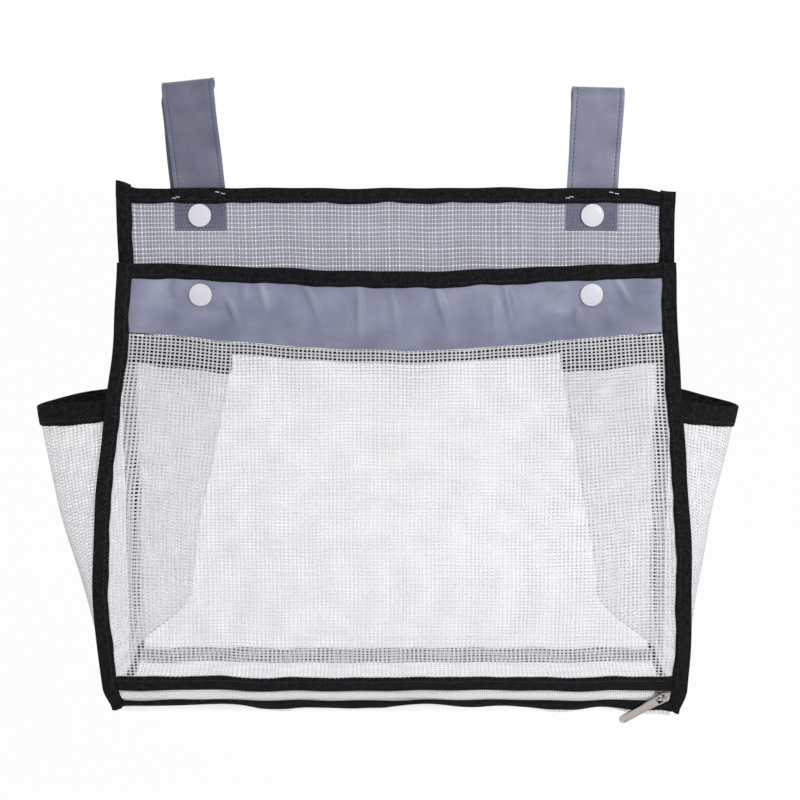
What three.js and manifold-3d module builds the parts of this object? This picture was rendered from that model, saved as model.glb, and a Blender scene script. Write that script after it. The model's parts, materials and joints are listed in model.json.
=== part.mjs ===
// Hanging bath toy organiser: a bound net bag with a snap mouth, a zipped floor,
// a pleated gusset and a pocket on each side, and two strap loops that snap shut.
// Millimetres. X runs across the bag, Y from its front to its back, and Z up from the rail
// that the strap loops hang on. A "drop" is a distance below the back panel's top edge.
import * as THREE from 'three';
import { mergeVertices } from 'three/addons/utils/BufferGeometryUtils.js';
import Module from 'manifold-3d';

const wasm = await Module();
wasm.setup();

// Driving sizes of the bag
const BAG_WIDTH = 350;
const BAG_HEIGHT = 310;
const STRAP_RISE = 64;
const MOUTH_DROP = 47;
const MOUTH_SAG = 5;
const HINGE_DROP = 88;
const HINGE_SAG = 10;
const GUSSET_DROP = 93;
const ZIPPER_RISE = 11;
const MOUTH_DEPTH = 24;
const FLOOR_DEPTH = 88;
const EDGE_BULGE = 32;
const EDGE_BULGE_SKEW = 1.35;
const HINGE_BULGE = 8;
const NET_BULGE = 18;
const MOUTH_BULGE = 5;
const GUSSET_WIDTH = 132;
const GUSSET_DROOP = 10;
const GUSSET_DROOP_REACH = 70;
const FLOOR_SAG = 4;
const FLOOR_ROUND = 7;
const FLOOR_RUN = 40;
const POCKET_DROP = 126;
const POCKET_HEIGHT = 147;
const POCKET_REACH = 42;
const POCKET_DROOP = 7;

// Driving sizes of the cloth, the tape and the small parts
const NET = 0.8;
const CLOTH = 0.6;
const TAPE = 0.6;
const STRAP = 1.2;
const GAP = 0.3;
const GATHER = 0.4;
const FIELD_CLEAR = 1;
const ZIPPER_CLEAR = 2;
const BINDING = 9.5;
const INNER_LEG = 5;
const ELASTIC = 12.5;
const LOWER_BINDING = 6.5;
const SEAM_TAPE = 8;
const HEM_INSET = 33;
const STRAP_WIDTH = 32;
const STRAP_TAIL = 27;
const STRAP_STRAIGHT = 8;
const LOOP_HALF = 6.5;
const LEFT_LEAN = -6;
const RIGHT_LEAN = 2.5;
const SNAP_INSET = 52;
const STRAP_SNAP_DROP = 17;
const MOUTH_SNAP_DROP = 66.5;
const CAP_RADIUS = 7.2;
const CAP_EDGE = 0.9;
const CAP_DOME = 0.6;
const PRONG_RADIUS = 1.4;
const PRONG_GRIP = 0.6;
const SNAP_RADIUS = 5.4;
const SOCKET_HEIGHT = 2;
const STUD_BASE = 1;
const STUD_RISE = 1;
const STUD_RADIUS = 2.7;
const SNAP_CLEAR = 0.4;
const SNAP_BEVEL = 0.3;
const SOCKET_LIP = 0.5;
const SNAP_SIDES = 12;
const ZIPPER_HALF = 3.8;
const COIL_INNER = 0.55;
const COIL_OUTER = 2.2;
const COIL_DEPTH = 1.6;
const COIL_PITCH = 4;
const TAPE_EDGE = 0.6;
const TAPE_REACH = 12;
const SLIDER_LENGTH = 9;
const SLIDER_PARK = 1;
const PULL_LENGTH = 30;
const PULL_WIDTH = 5.4;
const PULL_HANG = THREE.MathUtils.degToRad(35);

// Places worked out from the driving sizes
const TOP = -STRAP_RISE;
const HALF = BAG_WIDTH / 2;
const TAPE_TURN = GAP + TAPE;
const EDGE = HALF - TAPE_TURN;
const FIELD = HALF - BINDING - FIELD_CLEAR;
const LEGS_APART = GAP + STUD_BASE + SNAP_CLEAR + SOCKET_HEIGHT + GAP;
const LEG_Y = (LEGS_APART + STRAP) / 2;
const Y_BACK = -LEG_Y - STRAP / 2 - GAP - TAPE - GAP - NET / 2;
const SNAP_X = HALF - SNAP_INSET;
const HEM_HALF = HALF - HEM_INSET;
const SNAP_STACK = NET / 2 + LEGS_APART + CLOTH / 2;
const FLANGE_SET = NET + GAP;
const BEND_CLEAR = 0.7;
const BEND = HALF - INNER_LEG - BEND_CLEAR;
const ZIPPER_DROP = BAG_HEIGHT - ZIPPER_RISE;
const SLIDER_X = HALF - BINDING - SLIDER_PARK - SLIDER_LENGTH / 2;
const FIN_DROP = BAG_HEIGHT - TAPE_TURN;
const NET_BOTTOM_DROP = ZIPPER_DROP - ZIPPER_HALF - TAPE_TURN;

// Looks
const BLACK_TAPE = { color: 0x1c1c1d, roughness: 0.85, metalness: 0 };
const GREY_CLOTH = { color: 0x8588a0, roughness: 0.5, metalness: 0 };
const GREY_NET = { color: 0x86869a, roughness: 0.6, metalness: 0 };
const WHITE_NET = { color: 0xf0f0f1, roughness: 0.5, metalness: 0 };
const WHITE_PLASTIC = { color: 0xe6e6ea, roughness: 0.3, metalness: 0 };
const WHITE_NYLON = { color: 0xe9e8e4, roughness: 0.5, metalness: 0 };
const NICKEL = { color: 0xb4aca6, roughness: 0.3, metalness: 1 };

const organiser = new THREE.Group();

const { lerp: mix, smoothstep } = THREE.MathUtils;
const steps = (from, to, count) => Array.from({ length: count + 1 }, (_, i) => mix(from, to, i / count));

// A closed body: shared corners merged, collapsed triangles dropped, faces turned outwards
function solid(geometry) {
  const plain = new THREE.BufferGeometry();
  plain.setAttribute('position', geometry.getAttribute('position'));
  plain.setIndex(geometry.getIndex());
  const merged = mergeVertices(plain, 1e-4);
  const corner = merged.getAttribute('position');
  const all = Array.from(merged.getIndex().array);
  const kept = [];
  let volume = 0;
  const a = new THREE.Vector3();
  const b = new THREE.Vector3();
  const c = new THREE.Vector3();
  for (let k = 0; k < all.length; k += 3) {
    const [i, j, l] = all.slice(k, k + 3);
    if (i === j || j === l || l === i) continue;
    a.fromBufferAttribute(corner, i);
    b.fromBufferAttribute(corner, j);
    c.fromBufferAttribute(corner, l);
    volume += a.dot(b.cross(c));
    kept.push([i, j, l]);
  }
  const outward = volume > 0 ? kept : kept.map(([i, j, l]) => [i, l, j]);
  merged.setIndex(outward.flat());
  merged.computeVertexNormals();
  return merged;
}

// A surface as the flat facets that a sheet with these rows is built of
function facets(point, rows) {
  return (u, v) => {
    const next = Math.max(1, rows.findIndex((row, i) => row >= v || i === rows.length - 1));
    const share = (v - rows[next - 1]) / (rows[next] - rows[next - 1]);
    return point(u, rows[next - 1]).lerp(point(u, rows[next]), share);
  };
}

function body(points, triangles) {
  const geometry = new THREE.BufferGeometry().setFromPoints(points);
  geometry.setIndex(triangles.flat());
  return solid(geometry);
}

function addPiece(name, geometry, look, parent = organiser) {
  const piece = new THREE.Mesh(geometry, new THREE.MeshStandardMaterial(look));
  piece.name = name;
  parent.add(piece);
  return piece;
}

// Puts a piece at a point with its own x and y axes along two directions
function place(piece, point, xAxis, yAxis) {
  const basis = new THREE.Matrix4().makeBasis(xAxis, yAxis, xAxis.clone().cross(yAxis));
  piece.quaternion.setFromRotationMatrix(basis);
  piece.position.copy(point);
}

// Cloth of even thickness: the surface point(u, v) lifted by half the thickness to either side
function sheet(point, us, vs, thickness, lift = 0) {
  const rows = us.map((u) => vs.map((v) => point(u, v)));
  const inRow = (i) => THREE.MathUtils.clamp(i, 0, us.length - 1);
  const inColumn = (j) => THREE.MathUtils.clamp(j, 0, vs.length - 1);
  const upper = [];
  const lower = [];
  rows.forEach((row, i) => row.forEach((p, j) => {
    const along = rows[inRow(i + 1)][j].clone().sub(rows[inRow(i - 1)][j]);
    const across = rows[i][inColumn(j + 1)].clone().sub(rows[i][inColumn(j - 1)]);
    const normal = along.cross(across).normalize();
    upper.push(p.clone().addScaledVector(normal, lift + thickness / 2));
    lower.push(p.clone().addScaledVector(normal, lift - thickness / 2));
  }));
  const under = upper.length;
  const at = (i, j) => i * vs.length + j;
  const triangles = [];
  const quad = (p, q, r, s) => triangles.push([p, q, r], [p, r, s]);
  for (let i = 0; i + 1 < us.length; i += 1) {
    for (let j = 0; j + 1 < vs.length; j += 1) {
      const [p, q, r, s] = [at(i, j), at(i + 1, j), at(i + 1, j + 1), at(i, j + 1)];
      quad(p, q, r, s);
      quad(under + p, under + s, under + r, under + q);
    }
    const last = vs.length - 1;
    quad(at(i, 0), under + at(i, 0), under + at(i + 1, 0), at(i + 1, 0));
    quad(at(i + 1, last), under + at(i + 1, last), under + at(i, last), at(i, last));
  }
  for (let j = 0; j + 1 < vs.length; j += 1) {
    const last = us.length - 1;
    quad(at(0, j + 1), under + at(0, j + 1), under + at(0, j), at(0, j));
    quad(at(last, j), under + at(last, j), under + at(last, j + 1), at(last, j + 1));
  }
  return body([...upper, ...lower], triangles);
}

// The ends of a folded tape close as five four-cornered patches of its ring
const TAPE_RING = {
  count: 12,
  patches: [[0, 1, 10, 11], [1, 2, 9, 10], [2, 3, 8, 9], [3, 4, 7, 8], [4, 5, 6, 7]],
};

// Folded edge tape along the edge of a cloth. clothAt(k, inset) is the cloth's surface some way in from
// its edge. The cloth's layers lie between the heights low and high over that surface, and the tape's
// two legs cover them on either side: lowLeg and highLeg are their widths, turn included.
function foldedTape(clothAt, ks, [low, high], [lowLeg, highLeg], facing) {
  const [lowEnd, highEnd] = [lowLeg - TAPE_TURN, highLeg - TAPE_TURN];
  const insets = [lowEnd, lowEnd / 2, 0, highEnd / 2, highEnd];
  const rows = ks.map((k) => insets.map((inset) => clothAt(k, inset)));
  const [inLow, inHigh] = [low - GAP, high + GAP];
  const [outLow, outHigh] = [inLow - TAPE, inHigh + TAPE];
  const towards = facing.clone();
  const points = rows.flatMap((row, i) => {
    const before = rows[Math.max(i - 1, 0)];
    const after = rows[Math.min(i + 1, rows.length - 1)];
    const faces = row.map((_, m) => {
      const [deep, shallow] = m < 2 ? [m, m + 1] : [Math.max(m, 3), Math.max(m, 3) - 1];
      const inward = row[deep].clone().sub(row[shallow]);
      const face = after[m].clone().sub(before[m]).cross(inward).normalize();
      return face.dot(towards) < 0 ? face.negate() : face;
    });
    towards.copy(faces[2]);
    const out = row[2].clone().sub(row[3]).normalize();
    const over = (m, height) => row[m].clone().addScaledVector(faces[m], height);
    const turned = (by, height) => over(2, height).addScaledVector(out, by);
    return [
      over(0, outLow), over(1, outLow), turned(TAPE_TURN, outLow),
      turned(TAPE_TURN, outHigh), over(3, outHigh), over(4, outHigh),
      over(4, inHigh), over(3, inHigh), turned(GAP, inHigh),
      turned(GAP, inLow), over(1, inLow), over(0, inLow),
    ];
  });
  return tubeBody(points, TAPE_RING);
}

function tubeBody(points, { count, patches }) {
  const triangles = [];
  const last = points.length - count;
  for (let k = 0; k < last; k += count) {
    for (let m = 0; m < count; m += 1) {
      const [p, q] = [k + m, k + ((m + 1) % count)];
      triangles.push([p, q, q + count], [p, q + count, p + count]);
    }
  }
  patches.forEach(([a, b, c, d]) => {
    triangles.push([a, c, b], [a, d, c], [last + a, last + b, last + c], [last + a, last + c, last + d]);
  });
  return body(points, triangles);
}

// Booleans on closed meshes
function manifoldOf(geometry) {
  return new wasm.Manifold(new wasm.Mesh({
    numProp: 3,
    vertProperties: new Float32Array(geometry.getAttribute('position').array),
    triVerts: new Uint32Array(geometry.getIndex().array),
  }));
}

function geometryOf(manifold) {
  const { vertProperties, triVerts } = manifold.getMesh();
  const geometry = new THREE.BufferGeometry();
  geometry.setAttribute('position', new THREE.BufferAttribute(new Float32Array(vertProperties), 3));
  geometry.setIndex(Array.from(triVerts));
  return solid(geometry);
}

function joined(geometries) {
  return geometryOf(geometries.map(manifoldOf).reduce((whole, next) => whole.add(next)));
}

function cut(geometry, tools) {
  return geometryOf(tools.map(manifoldOf).reduce((left, tool) => left.subtract(tool), manifoldOf(geometry)));
}

// Punches the snap holes through a cloth, each at [x, z], right through front to back
function punched(cloth, holes) {
  const radius = PRONG_RADIUS + GAP;
  const reach = 2 * (FLOOR_DEPTH + HALF);
  return cut(cloth, holes.map(([x, z]) => {
    const punch = new THREE.CylinderGeometry(radius, radius, reach, SNAP_SIDES / 2);
    punch.translate(x, 0, z);
    return solid(punch);
  }));
}

// The bag's shape

// How far the front panel's side edge stands in front of the back panel
function depthAt(drop) {
  const s = (drop - HINGE_DROP) / (FIN_DROP - HINGE_DROP);
  const belly = Math.sin(Math.PI * Math.max(s, 0) ** EDGE_BULGE_SKEW);
  return mix(MOUTH_DEPTH, FLOOR_DEPTH, s) + EDGE_BULGE * belly;
}

// A point of the front panel's side edge, set back from it by some distance along its slope's normal
function frontEdge(side, drop, setBack = 0, x = EDGE) {
  const slope = depthAt(drop + 0.5) - depthAt(drop - 0.5);
  const length = Math.hypot(1, slope);
  const y = Y_BACK - depthAt(drop) + setBack / length;
  return new THREE.Vector3(side * x, y, TOP - drop - (setBack * slope) / length);
}

// Swell across the width: 1 at the middle, 0 with no slope from the bindings outwards
function across(x) {
  return Math.max(0, 1 - (x / FIELD) ** 2) ** 1.5;
}

// Front net: u from -1 to 1 across
function frontNet(u, drop) {
  const x = u * EDGE;
  const swell = across(x);
  const s = (drop - HINGE_DROP) / (NET_BOTTOM_DROP - HINGE_DROP);
  const bulge = mix(HINGE_BULGE, 0, s) + NET_BULGE * Math.sin(Math.PI * s) ** 2;
  const sag = HINGE_SAG * swell * (1 - s);
  return new THREE.Vector3(x, Y_BACK - depthAt(drop) - bulge * swell, TOP - drop - sag);
}

// Mouth band: u across, t from 0 at its top edge to 1 at the mouth seam. It lies flat where it snaps
// to the back panel, arches a little between the snaps, and slopes out over the bag below them.
const SNAP_FLAT = 0.62;
const SNAP_HOLD = 2.3;
const LOOSE_TOP = 3;

function mouthBand(u, t) {
  const x = u * EDGE;
  const swell = across(x);
  const drop = mix(MOUTH_DROP + MOUTH_SAG * swell, HINGE_DROP + HINGE_SAG * swell - GAP, t);
  const seam = MOUTH_DEPTH + HINGE_BULGE * swell;
  const shoulder = Math.max(0, (t - SNAP_FLAT) / (1 - SNAP_FLAT)) ** 1.5;
  const arch = MOUTH_BULGE * Math.max(0, 1 - (x / SNAP_X) ** 2) ** 2 * (1 - t);
  const snapped = mix(SNAP_STACK, seam, shoulder) + arch;
  const loose = mix(SNAP_STACK + LOOSE_TOP, seam, t);
  const depth = mix(snapped, loose, smoothstep(Math.abs(x), SNAP_X + SNAP_HOLD * CAP_RADIUS, FIELD));
  return new THREE.Vector3(x, Y_BACK - depth, TOP - drop);
}

const SIDES = [['left', -1], ['right', 1]];
const ACROSS = [-1, ...steps(-FIELD / EDGE, FIELD / EDGE, 18), 1];
const KNOTS = steps(GUSSET_DROP, FIN_DROP, 15);
const LEAST_ROW = 3;
const FRONT = new THREE.Vector3(0, -1, 0);
const SNAP_HOLES = (drop) => [-1, 1].map((side) => [side * SNAP_X, TOP - drop]);

// A panel's net, cut open in a plain grid of square holes, clear of the tapes on its edges
const NET_OPENINGS = 10;
const NET_BAR = 11;
const NET_MARGIN = 4;

function opened(net, dropFrom, dropTo) {
  const half = FIELD - NET_MARGIN;
  const pitch = (2 * half) / NET_OPENINGS;
  const [top, bottom] = [dropFrom + NET_MARGIN, dropTo - NET_MARGIN];
  const count = Math.round((bottom - top) / pitch);
  const rise = (bottom - top) / count;
  const reach = 2 * (FLOOR_DEPTH + HALF);
  const holes = [];
  for (let i = 0; i < NET_OPENINGS; i += 1) {
    for (let j = 0; j < count; j += 1) {
      const hole = new THREE.BoxGeometry(pitch - NET_BAR, reach, rise - NET_BAR);
      hole.translate((i + 0.5) * pitch - half, 0, TOP - top - (j + 0.5) * rise);
      holes.push(solid(hole));
    }
  }
  return cut(net, holes);
}

// Back panel: a grey net band above, white net below, a seam tape between and folded tape all round
function flatCloth(width, dropFrom, dropTo, y, thickness) {
  const cloth = new THREE.BoxGeometry(width, thickness, dropTo - dropFrom);
  cloth.translate(0, y, TOP - (dropFrom + dropTo) / 2);
  return solid(cloth);
}

function buildBackPanel() {
  const band = flatCloth(2 * EDGE, TAPE_TURN, HINGE_DROP, Y_BACK, NET);
  const holes = [...SNAP_HOLES(STRAP_SNAP_DROP), ...SNAP_HOLES(MOUTH_SNAP_DROP)];
  addPiece('back_band', punched(band, holes), GREY_NET);
  const net = flatCloth(2 * EDGE, HINGE_DROP + GAP, FIN_DROP, Y_BACK, NET);
  addPiece('back_net', opened(net, HINGE_DROP + SEAM_TAPE / 2, FIN_DROP - BINDING), WHITE_NET);
  const seamY = Y_BACK - NET / 2 - GAP - TAPE / 2;
  const seam = flatCloth(2 * FIELD, HINGE_DROP - SEAM_TAPE / 2, HINGE_DROP + SEAM_TAPE / 2, seamY, TAPE);
  addPiece('back_seam_tape', seam, BLACK_TAPE);

  const across = (half, drop, inward) => (u, inset) => (
    new THREE.Vector3(u * half, Y_BACK, TOP - drop - inward * inset));
  const single = [-NET / 2, NET / 2];
  const legs = [BINDING, BINDING];
  const top = foldedTape(across(HALF, TAPE_TURN, 1), [-1, 1], single, legs, FRONT);
  addPiece('back_binding_top', top, BLACK_TAPE);
  const foot = foldedTape(across(HALF - BINDING - GAP, FIN_DROP, -1), [-1, 1], single, legs, FRONT);
  addPiece('back_binding_bottom', foot, BLACK_TAPE);
  const drops = [BINDING + GAP, BAG_HEIGHT];
  for (const [name, side] of SIDES) {
    const upright = (drop, inset) => new THREE.Vector3(side * (EDGE - inset), Y_BACK, TOP - drop);
    const layers = [-NET / 2, NET / 2 + FLANGE_SET];
    const tape = foldedTape(upright, drops, layers, [BINDING, INNER_LEG], FRONT);
    addPiece(`back_binding_${name}`, tape, BLACK_TAPE);
  }
}

// Where the mouth band bends as the flap opens: the height of its two lower corners
function bendAt(u) {
  const swell = across(u * EDGE);
  const top = MOUTH_DROP + MOUTH_SAG * swell;
  return (HINGE_DROP - GAP - top) / (HINGE_DROP + HINGE_SAG * swell - GAP - top);
}

// Mouth flap: the grey band with its folded tape, free above the gussets. Below the bend, the part of
// the band that sags to the mouth seam stays with the front panel as a hem.
function buildMouthFlap() {
  const height = HINGE_DROP - MOUTH_DROP;
  const tapeEnd = (BINDING - TAPE_TURN) / height;
  const flatRows = [0, tapeEnd / 2, tapeEnd, 2 * tapeEnd, SNAP_FLAT];
  const rows = [...flatRows, ...steps(SNAP_FLAT, 1, 4).slice(1)];
  const hasHem = (u) => Math.abs(u) * EDGE < HEM_HALF;
  const upper = (u, v) => {
    const end = hasHem(u) ? bendAt(u) : 1;
    const below = (v - SNAP_FLAT) / (1 - SNAP_FLAT);
    return mouthBand(u, v < SNAP_FLAT ? v : mix(SNAP_FLAT, end, below));
  };
  const band = sheet(upper, ACROSS, rows, CLOTH);
  addPiece('mouth_band', punched(band, SNAP_HOLES(MOUTH_SNAP_DROP)), GREY_CLOTH);
  const lower = (u, t) => mouthBand(u, mix(bendAt(u), 1, t)).add(new THREE.Vector3(0, 0, -GAP * (1 - t)));
  addPiece('mouth_hem', sheet(lower, ACROSS.filter(hasHem), [0, 0.5, 1], CLOTH), GREY_CLOTH);
  const layers = [-CLOTH / 2, CLOTH / 2];
  const gathered = [-CLOTH / 2 - GATHER, CLOTH / 2 + GATHER];
  const legs = [BINDING, BINDING];
  const top = foldedTape((u, inset) => mouthBand(u, inset / height), ACROSS, gathered, legs, FRONT);
  addPiece('mouth_binding_top', top, BLACK_TAPE);
  for (const [name, side] of SIDES) {
    const upright = (t, inset) => mouthBand(side * (1 - inset / EDGE), t);
    const ts = steps((BINDING + GAP) / height, 1, 6);
    addPiece(`mouth_binding_${name}`, foldedTape(upright, ts, layers, legs, FRONT), BLACK_TAPE);
  }
}

// Front panel: the net, the tape behind its upper seam and the folded tape on its other edges
function buildFrontPanel() {
  const between = KNOTS.filter((drop) => drop < NET_BOTTOM_DROP - LEAST_ROW);
  const rows = [HINGE_DROP + GAP, ...between, NET_BOTTOM_DROP];
  const net = sheet(frontNet, ACROSS, rows, NET);
  const seamEnd = HINGE_DROP + HINGE_SAG + SEAM_TAPE;
  addPiece('front_net', opened(net, seamEnd, NET_BOTTOM_DROP - BINDING), WHITE_NET);
  const behind = NET / 2 + GAP + TAPE / 2;
  const cloth = facets(frontNet, rows);
  const seamAcross = ACROSS.filter((u) => Math.abs(u) * EDGE < HALF - 2 * BINDING);
  const seamRows = [rows[0] + GAP, rows[1], rows[0] + SEAM_TAPE];
  addPiece('front_seam_tape', sheet(cloth, seamAcross, seamRows, TAPE, behind), BLACK_TAPE);

  const reach = (HALF - BINDING - GAP) / EDGE;
  const along = (u, inset) => cloth(u, NET_BOTTOM_DROP - inset);
  const legs = [BINDING, BINDING];
  const footAcross = [-reach, ...ACROSS.slice(1, -1), reach];
  const foot = foldedTape(along, footAcross, [-NET / 2, NET / 2], legs, FRONT);
  addPiece('front_binding_bottom', foot, BLACK_TAPE);

  for (const [name, side] of SIDES) {
    const upright = (drop, inset) => frontEdge(side, drop, 0, EDGE - inset);
    const layers = [-NET / 2 - FLANGE_SET, NET / 2];
    const tape = foldedTape(upright, [rows[0], ...KNOTS], layers, [INNER_LEG, BINDING], FRONT);
    addPiece(`front_binding_${name}`, tape, BLACK_TAPE);
  }
}

// Gussets

// How far a pleat reaches in at a place q between its two seams: straight legs and a round fold
function pleatIn(q, half, fold, radius) {
  const centre = fold - radius;
  const leg = Math.atan2(half, centre) - Math.asin(radius / Math.hypot(centre, half));
  const turn = radius * Math.cos(leg);
  if (Math.abs(q) < turn) return centre + Math.sqrt(radius ** 2 - q ** 2);
  return (half - Math.abs(q)) / Math.tan(leg);
}

// Pleat sizes at a drop: the gusset folds in between the seams and flattens towards the floor
const PLEAT_FLATTENS = [0.7, 0.94];
const PLEAT_LEAST = 1;
const PLEAT_RADII = [4, 30];

function pleatAt(drop) {
  const half = (depthAt(drop) - 2 * FLANGE_SET) / 2;
  const v = (drop - GUSSET_DROP) / (FIN_DROP - GUSSET_DROP);
  const free = Math.sqrt((GUSSET_WIDTH / 2) ** 2 - half ** 2);
  const fold = Math.max(PLEAT_LEAST, free * (1 - smoothstep(v, ...PLEAT_FLATTENS)));
  return { half, fold, radius: mix(...PLEAT_RADII, v ** 2) };
}

const PLEAT_TAPE_END = 0.9;
const PLEAT_STATIONS = [-1, -0.66, -0.33, -0.14, -0.05, 0.05, 0.14, 0.33, 0.66, 1];

// A gusset point: station -2 and 2 are the outer ends of its sewn flanges
function gussetPoint(side, station, drop) {
  const front = frontEdge(side, drop, FLANGE_SET);
  const { half, fold, radius } = pleatAt(drop);
  const place = THREE.MathUtils.clamp(station, -1, 1);
  const inward = pleatIn(place * half, half, fold, radius);
  const onFlange = Math.abs(station) > 1;
  const x = onFlange ? EDGE - GAP : BEND - inward;
  const y = mix(front.y, Y_BACK - FLANGE_SET, (place + 1) / 2);
  const fade = 1 - smoothstep(drop, GUSSET_DROP, GUSSET_DROP + GUSSET_DROOP_REACH);
  const droop = (GUSSET_DROOP * fade * inward) / fold;
  const z = mix(front.z, TOP - drop, (place + 1) / 2) - droop;
  return new THREE.Vector3(side * x, y, z);
}

function buildGussets() {
  for (const [name, side] of SIDES) {
    const point = (station, drop) => gussetPoint(side, station, drop);
    addPiece(`gusset_${name}`, sheet(point, [-2, ...PLEAT_STATIONS, 2], KNOTS, NET), WHITE_NET);
    const outside = new THREE.Vector3(side, 0, 0);
    const along = [-PLEAT_TAPE_END, ...PLEAT_STATIONS.slice(1, -1), PLEAT_TAPE_END];
    const layers = [-NET / 2, NET / 2];
    const gathered = [-NET / 2 - GATHER, NET / 2 + GATHER];
    const cloth = facets(point, KNOTS);
    const top = (station, inset) => cloth(station, GUSSET_DROP + inset);
    const topTape = foldedTape(top, along, gathered, [ELASTIC, ELASTIC], outside);
    addPiece(`gusset_binding_${name}`, topTape, BLACK_TAPE);
    const foot = (station, inset) => cloth(station, FIN_DROP - inset);
    const footTape = foldedTape(foot, along, layers, [BINDING, BINDING], outside);
    addPiece(`floor_binding_${name}`, footTape, BLACK_TAPE);
  }
}

// Zipper, built in its own group: x along the teeth, -y out of the bag, z up along the front panel
const zipperLean = Math.atan(depthAt(ZIPPER_DROP - 0.5) - depthAt(ZIPPER_DROP + 0.5));
const zipperGroup = new THREE.Group();
zipperGroup.position.copy(frontEdge(1, ZIPPER_DROP, 0, 0));
zipperGroup.rotation.x = zipperLean;
organiser.add(zipperGroup);

const ZIPPER_REACH = HALF - BINDING - ZIPPER_CLEAR;
const TAPE_SET = 2.3;
const COIL_ROOT = 0.55;
const TOOTH_TIP = 0.3;
const TOOTH_END = 0.6;

function box(x0, x1, y0, y1, z0, z1) {
  const geometry = new THREE.BoxGeometry(x1 - x0, y1 - y0, z1 - z0);
  geometry.translate((x0 + x1) / 2, (y0 + y1) / 2, (z0 + z1) / 2);
  return solid(geometry);
}

// One coil row from the front: a straight back along its tape's edge and pointed loops towards the other row
function toothedRow(up) {
  const count = Math.round((2 * ZIPPER_REACH) / COIL_PITCH);
  const root = mix(COIL_INNER, COIL_OUTER, COIL_ROOT);
  const [tip, end] = [COIL_PITCH * TOOTH_TIP, COIL_PITCH * TOOTH_END];
  const outline = [[ZIPPER_REACH, COIL_OUTER], [-ZIPPER_REACH, COIL_OUTER]];
  for (const start of steps(-ZIPPER_REACH, ZIPPER_REACH, count).slice(0, -1)) {
    outline.push([start, root], [start + tip, COIL_INNER], [start + end, root]);
  }
  outline.push([ZIPPER_REACH, root]);
  return new THREE.Shape(outline.map(([x, z]) => new THREE.Vector2(x, up * z)));
}

function buildZipper() {
  const coilBack = TAPE_SET - CLOTH / 2 - GAP;
  for (const [name, up] of [['upper', 1], ['lower', -1]]) {
    const between = (near, far) => (up > 0 ? [near, far] : [-far, -near]);
    const tape = box(-ZIPPER_REACH, ZIPPER_REACH, TAPE_SET - CLOTH / 2, TAPE_SET + CLOTH / 2,
      ...between(TAPE_EDGE, TAPE_REACH));
    addPiece(`zipper_tape_${name}`, tape, WHITE_NYLON, zipperGroup);
    const teeth = plate(toothedRow(up), coilBack - COIL_DEPTH, coilBack);
    addPiece(`zipper_coil_${name}`, teeth, WHITE_NYLON, zipperGroup);
  }
}

// A flat plate cut from an outline in x and z, between two y values
function plate(shape, y0, y1, curveSegments = 6) {
  const geometry = new THREE.ExtrudeGeometry(shape, { depth: y1 - y0, bevelEnabled: false, curveSegments });
  geometry.rotateX(Math.PI / 2);
  geometry.translate(0, y1, 0);
  return solid(geometry);
}

const SLIDER_HALF = 3.3;
const ARCH_IN = 1.9;
const ARCH_OUT = 2.9;
const ARCH_HALF = 0.6;
const ARCH_RISE = 1.8;
const ARCH_BAR = 1;
const PLATE_FRONT = -1.5;
const PLATE_BACK = -0.3;
const BACK_CLEAR = 0.4;
const BACK_PLATE = 0.9;
const LAP = 0.2;
const DIVIDER = [0.5, 3.3];
const DIVIDER_HALF = 0.2;
const RAIL_CLEAR = 0.25;
const RAIL = [0.6, 6.3];
const ARCH_ROUND = 0.8;
const TAIL = 0.8;
const NECK = 0.85;
const PULL_Y = PLATE_FRONT - ARCH_RISE / 2;

// Slider plate: broad at the shoulders, where the rows part, and narrower at the tail
function sliderOutline(half) {
  const end = SLIDER_LENGTH / 2;
  const shape = new THREE.Shape();
  shape.moveTo(-end, -half * TAIL);
  shape.quadraticCurveTo(end * 0.2, -half * NECK, end * 0.55, -half);
  shape.quadraticCurveTo(end, -half, end, 0);
  shape.quadraticCurveTo(end, half, end * 0.55, half);
  shape.quadraticCurveTo(end * 0.2, half * NECK, -end, half * TAIL);
  shape.closePath();
  return shape;
}

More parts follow.
